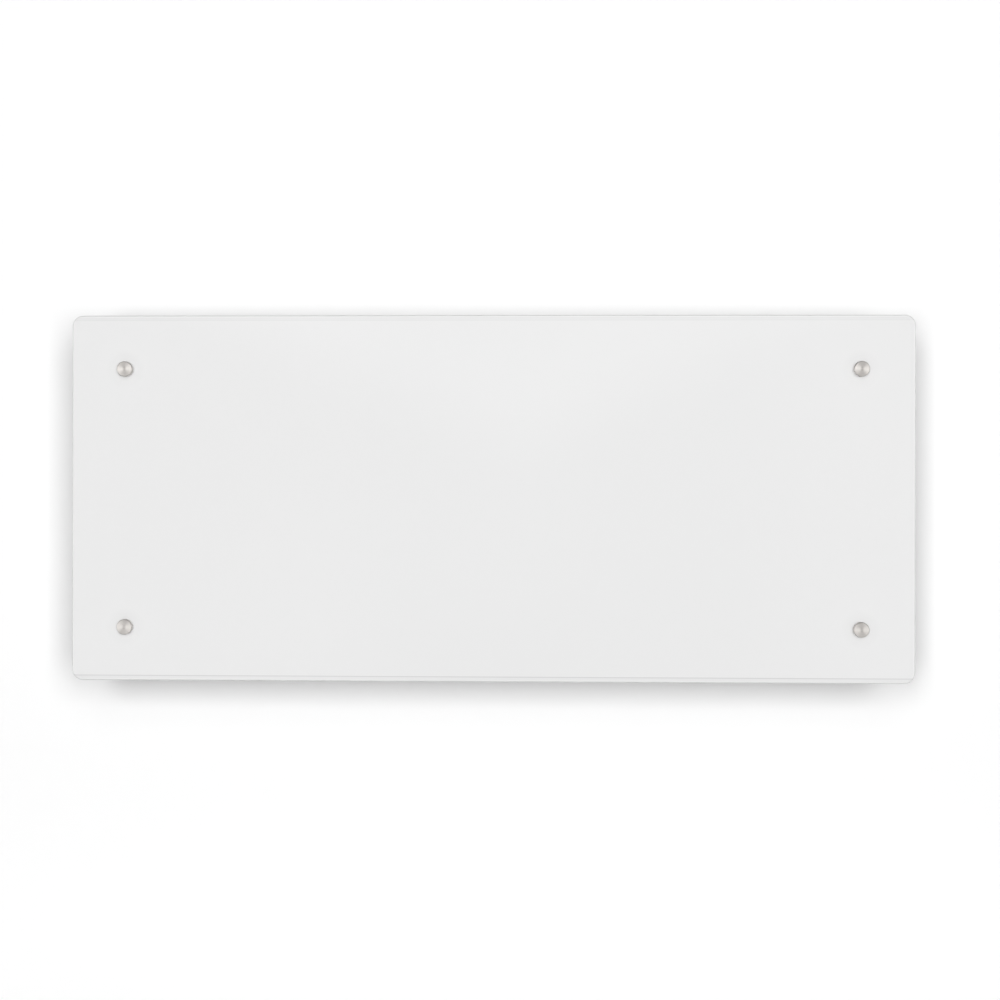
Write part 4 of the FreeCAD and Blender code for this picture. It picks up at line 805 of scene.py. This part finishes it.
def floor_look():
    """Pale floor that every ray meets from above."""
    look, _ = matt_stage("floor_pale", FLOOR_PALE, FLOOR_GLOW)
    return one_sided(look)


panel("wall", [(-ROOM, WALL_Y, FLOOR_Z), (ROOM, WALL_Y, FLOOR_Z), (ROOM, WALL_Y, ROOM),
               (-ROOM, WALL_Y, ROOM)], wall_look())
floor = panel("floor", [(-ROOM, -ROOM, FLOOR_Z), (ROOM, -ROOM, FLOOR_Z), (ROOM, ROOM, FLOOR_Z),
                        (-ROOM, ROOM, FLOOR_Z)], floor_look())
floor.visible_shadow = False


# Camera

PHOTO_PIXELS = 1000
FOCAL_PIXELS = 1619.04
CAMERA_DISTANCE = 1.5
CAMERA_YAW = math.radians(1.5851)
CAMERA_PITCH = math.radians(-0.0977)
CAMERA_ROLL = math.radians(-0.1099)
AIM = Vector((0.00841, GLASS_FRONT, -0.00124))

camera_data = bpy.data.cameras.new("camera")
camera_data.sensor_width = 36.0
camera_data.lens = FOCAL_PIXELS * camera_data.sensor_width / PHOTO_PIXELS
camera = bpy.data.objects.new("camera", camera_data)
bpy.context.scene.collection.objects.link(camera)
turn = (Matrix.Rotation(CAMERA_YAW, 4, "Z") @ Matrix.Rotation(CAMERA_PITCH, 4, "X")
        @ Matrix.Rotation(CAMERA_ROLL, 4, "Y"))
eye = AIM - (turn.to_3x3() @ Vector((0, 1, 0))) * CAMERA_DISTANCE
camera.matrix_world = Matrix.Translation(eye) @ turn @ Matrix.Rotation(math.pi / 2, 4, "X")
bpy.context.scene.camera = camera


# Light

def lamp(name, place, target, width, height, watts, glossy=False, diffuse=True):
    """Rectangular soft light aimed at a point."""
    data = bpy.data.lights.new(name, "AREA")
    data.shape = "RECTANGLE"
    data.size = width
    data.size_y = height
    data.energy = watts
    obj = bpy.data.objects.new(name, data)
    bpy.context.scene.collection.objects.link(obj)
    aim = Vector(target) - Vector(place)
    obj.matrix_world = Matrix.Translation(place) @ aim.to_track_quat("-Z", "Y").to_matrix().to_4x4()
    obj.visible_glossy = glossy
    obj.visible_diffuse = diffuse
    return obj


MIDDLE = (0.0, 0.0, 0.0)
KEY_Y = -6.0
KEY_Z = 0.5
KEY_HEIGHT = 3.7

# The keys light the front and draw the shadow on the wall: the outer ones its sides, the top one its tail.
lamp("middle_key", (0.0, KEY_Y, KEY_Z), MIDDLE, 1.2, KEY_HEIGHT, 15.0)
lamp("top_key", (0.2, KEY_Y, 3.3), MIDDLE, 3.0, 1.9, 33.0)
lamp("left_key", (-1.575, KEY_Y, KEY_Z), MIDDLE, 1.55, KEY_HEIGHT, 189.0)
lamp("right_key", (2.11, KEY_Y, KEY_Z), MIDDLE, 1.975, KEY_HEIGHT, 194.0)

STRIP_X = 1.35
STRIP_Y = -2.3
STRIP_Z = 0.1

# The strips are there only to be mirrored in metal and glass.
for name, side in (("left_strip", -1), ("right_strip", 1)):
    lamp(name, (side * STRIP_X, STRIP_Y, STRIP_Z), (0.0, 0.0, STRIP_Z), 0.45, 2.0, 4.2, glossy=True,
         diffuse=False)

BACK_X = 1.9
BACK_Y = 1.7
BACK_Z = 0.9
BACK_SIZE = 1.7

# The back lamps light what is seen from behind the wall.
for name, side, watts in (("back_left", -1, 38.0), ("back_right", 1, 45.0)):
    lamp(name, (side * BACK_X, BACK_Y, BACK_Z), MIDDLE, BACK_SIZE, BACK_SIZE, watts)

CARD_TIP_Z = 0.0
CARD_TOP_Z = 0.60
CARD_HALF_WIDTH = 0.9
CARD_BEHIND_CAMERA = 0.04
CARD_SLOPE = 0.45
CARD_SOFTNESS = 0.20
CARD_LEVEL = 1.5


def mirrored_card():
    """Softly edged wedge of light over the camera, there only to be mirrored in the glass."""
    material = bpy.data.materials.new("card_light")
    graph = Graph(material)
    graph.tree.nodes.remove(graph.tree.nodes["Principled BSDF"])
    place = graph.parts(graph.add("ShaderNodeTexCoord").outputs["Object"])
    across = graph.maths("ABSOLUTE", place["X"])
    edge = graph.maths("MULTIPLY_ADD", across, -CARD_SLOPE, place["Z"])
    shown = graph.ranged(edge, CARD_TIP_Z, CARD_TIP_Z + CARD_SOFTNESS, 0.0, 1.0, "SMOOTHSTEP")
    clear = graph.add("ShaderNodeBsdfTransparent")
    light = graph.add("ShaderNodeEmission", Strength=CARD_LEVEL)
    graph.surface(shown, clear.outputs[0], light.outputs[0])
    y = eye.y - CARD_BEHIND_CAMERA
    corners = [(-CARD_HALF_WIDTH, y, CARD_TIP_Z), (CARD_HALF_WIDTH, y, CARD_TIP_Z),
               (CARD_HALF_WIDTH, y, CARD_TOP_Z), (-CARD_HALF_WIDTH, y, CARD_TOP_Z)]
    card = panel("mirrored_card", corners, material)
    card.visible_camera = False
    card.visible_diffuse = False
    card.visible_transmission = False
    card.visible_shadow = False


mirrored_card()

SKY_LIGHT = 0.05
SKY_SHOWN = 1.0
SKY_MIRRORED_HIGH = 0.30

# The mirrored sky dims between these heights, as parts of its radius.
SKY_DIM_FROM = 0.08
SKY_DIM_TO = 0.32


def studio_world():
    """White to look at, dimmer as a light, and darker overhead and underfoot where metal mirrors it."""
    world = bpy.data.worlds.new("world")
    bpy.context.scene.world = world
    graph = Graph(world)
    background = graph.tree.nodes["Background"]
    background.inputs["Color"].default_value = (1.0, 1.0, 1.0, 1.0)
    path = graph.add("ShaderNodeLightPath").outputs
    seen = graph.maths("MAXIMUM", path["Is Camera Ray"], path["Is Transmission Ray"])
    plain = graph.ranged(seen, 0.0, 1.0, SKY_LIGHT, SKY_SHOWN)
    direction = graph.parts(graph.add("ShaderNodeTexCoord").outputs["Generated"])
    height = graph.maths("ABSOLUTE", direction["Z"])
    mirrored = graph.ranged(height, SKY_DIM_FROM, SKY_DIM_TO, SKY_SHOWN, SKY_MIRRORED_HIGH, "SMOOTHSTEP")
    strength = graph.add("ShaderNodeMix", _0=path["Is Glossy Ray"], _2=plain, _3=mirrored)
    graph.join(strength.outputs[0], background.inputs["Strength"])


studio_world()

bpy.context.scene.view_settings.view_transform = "Standard"
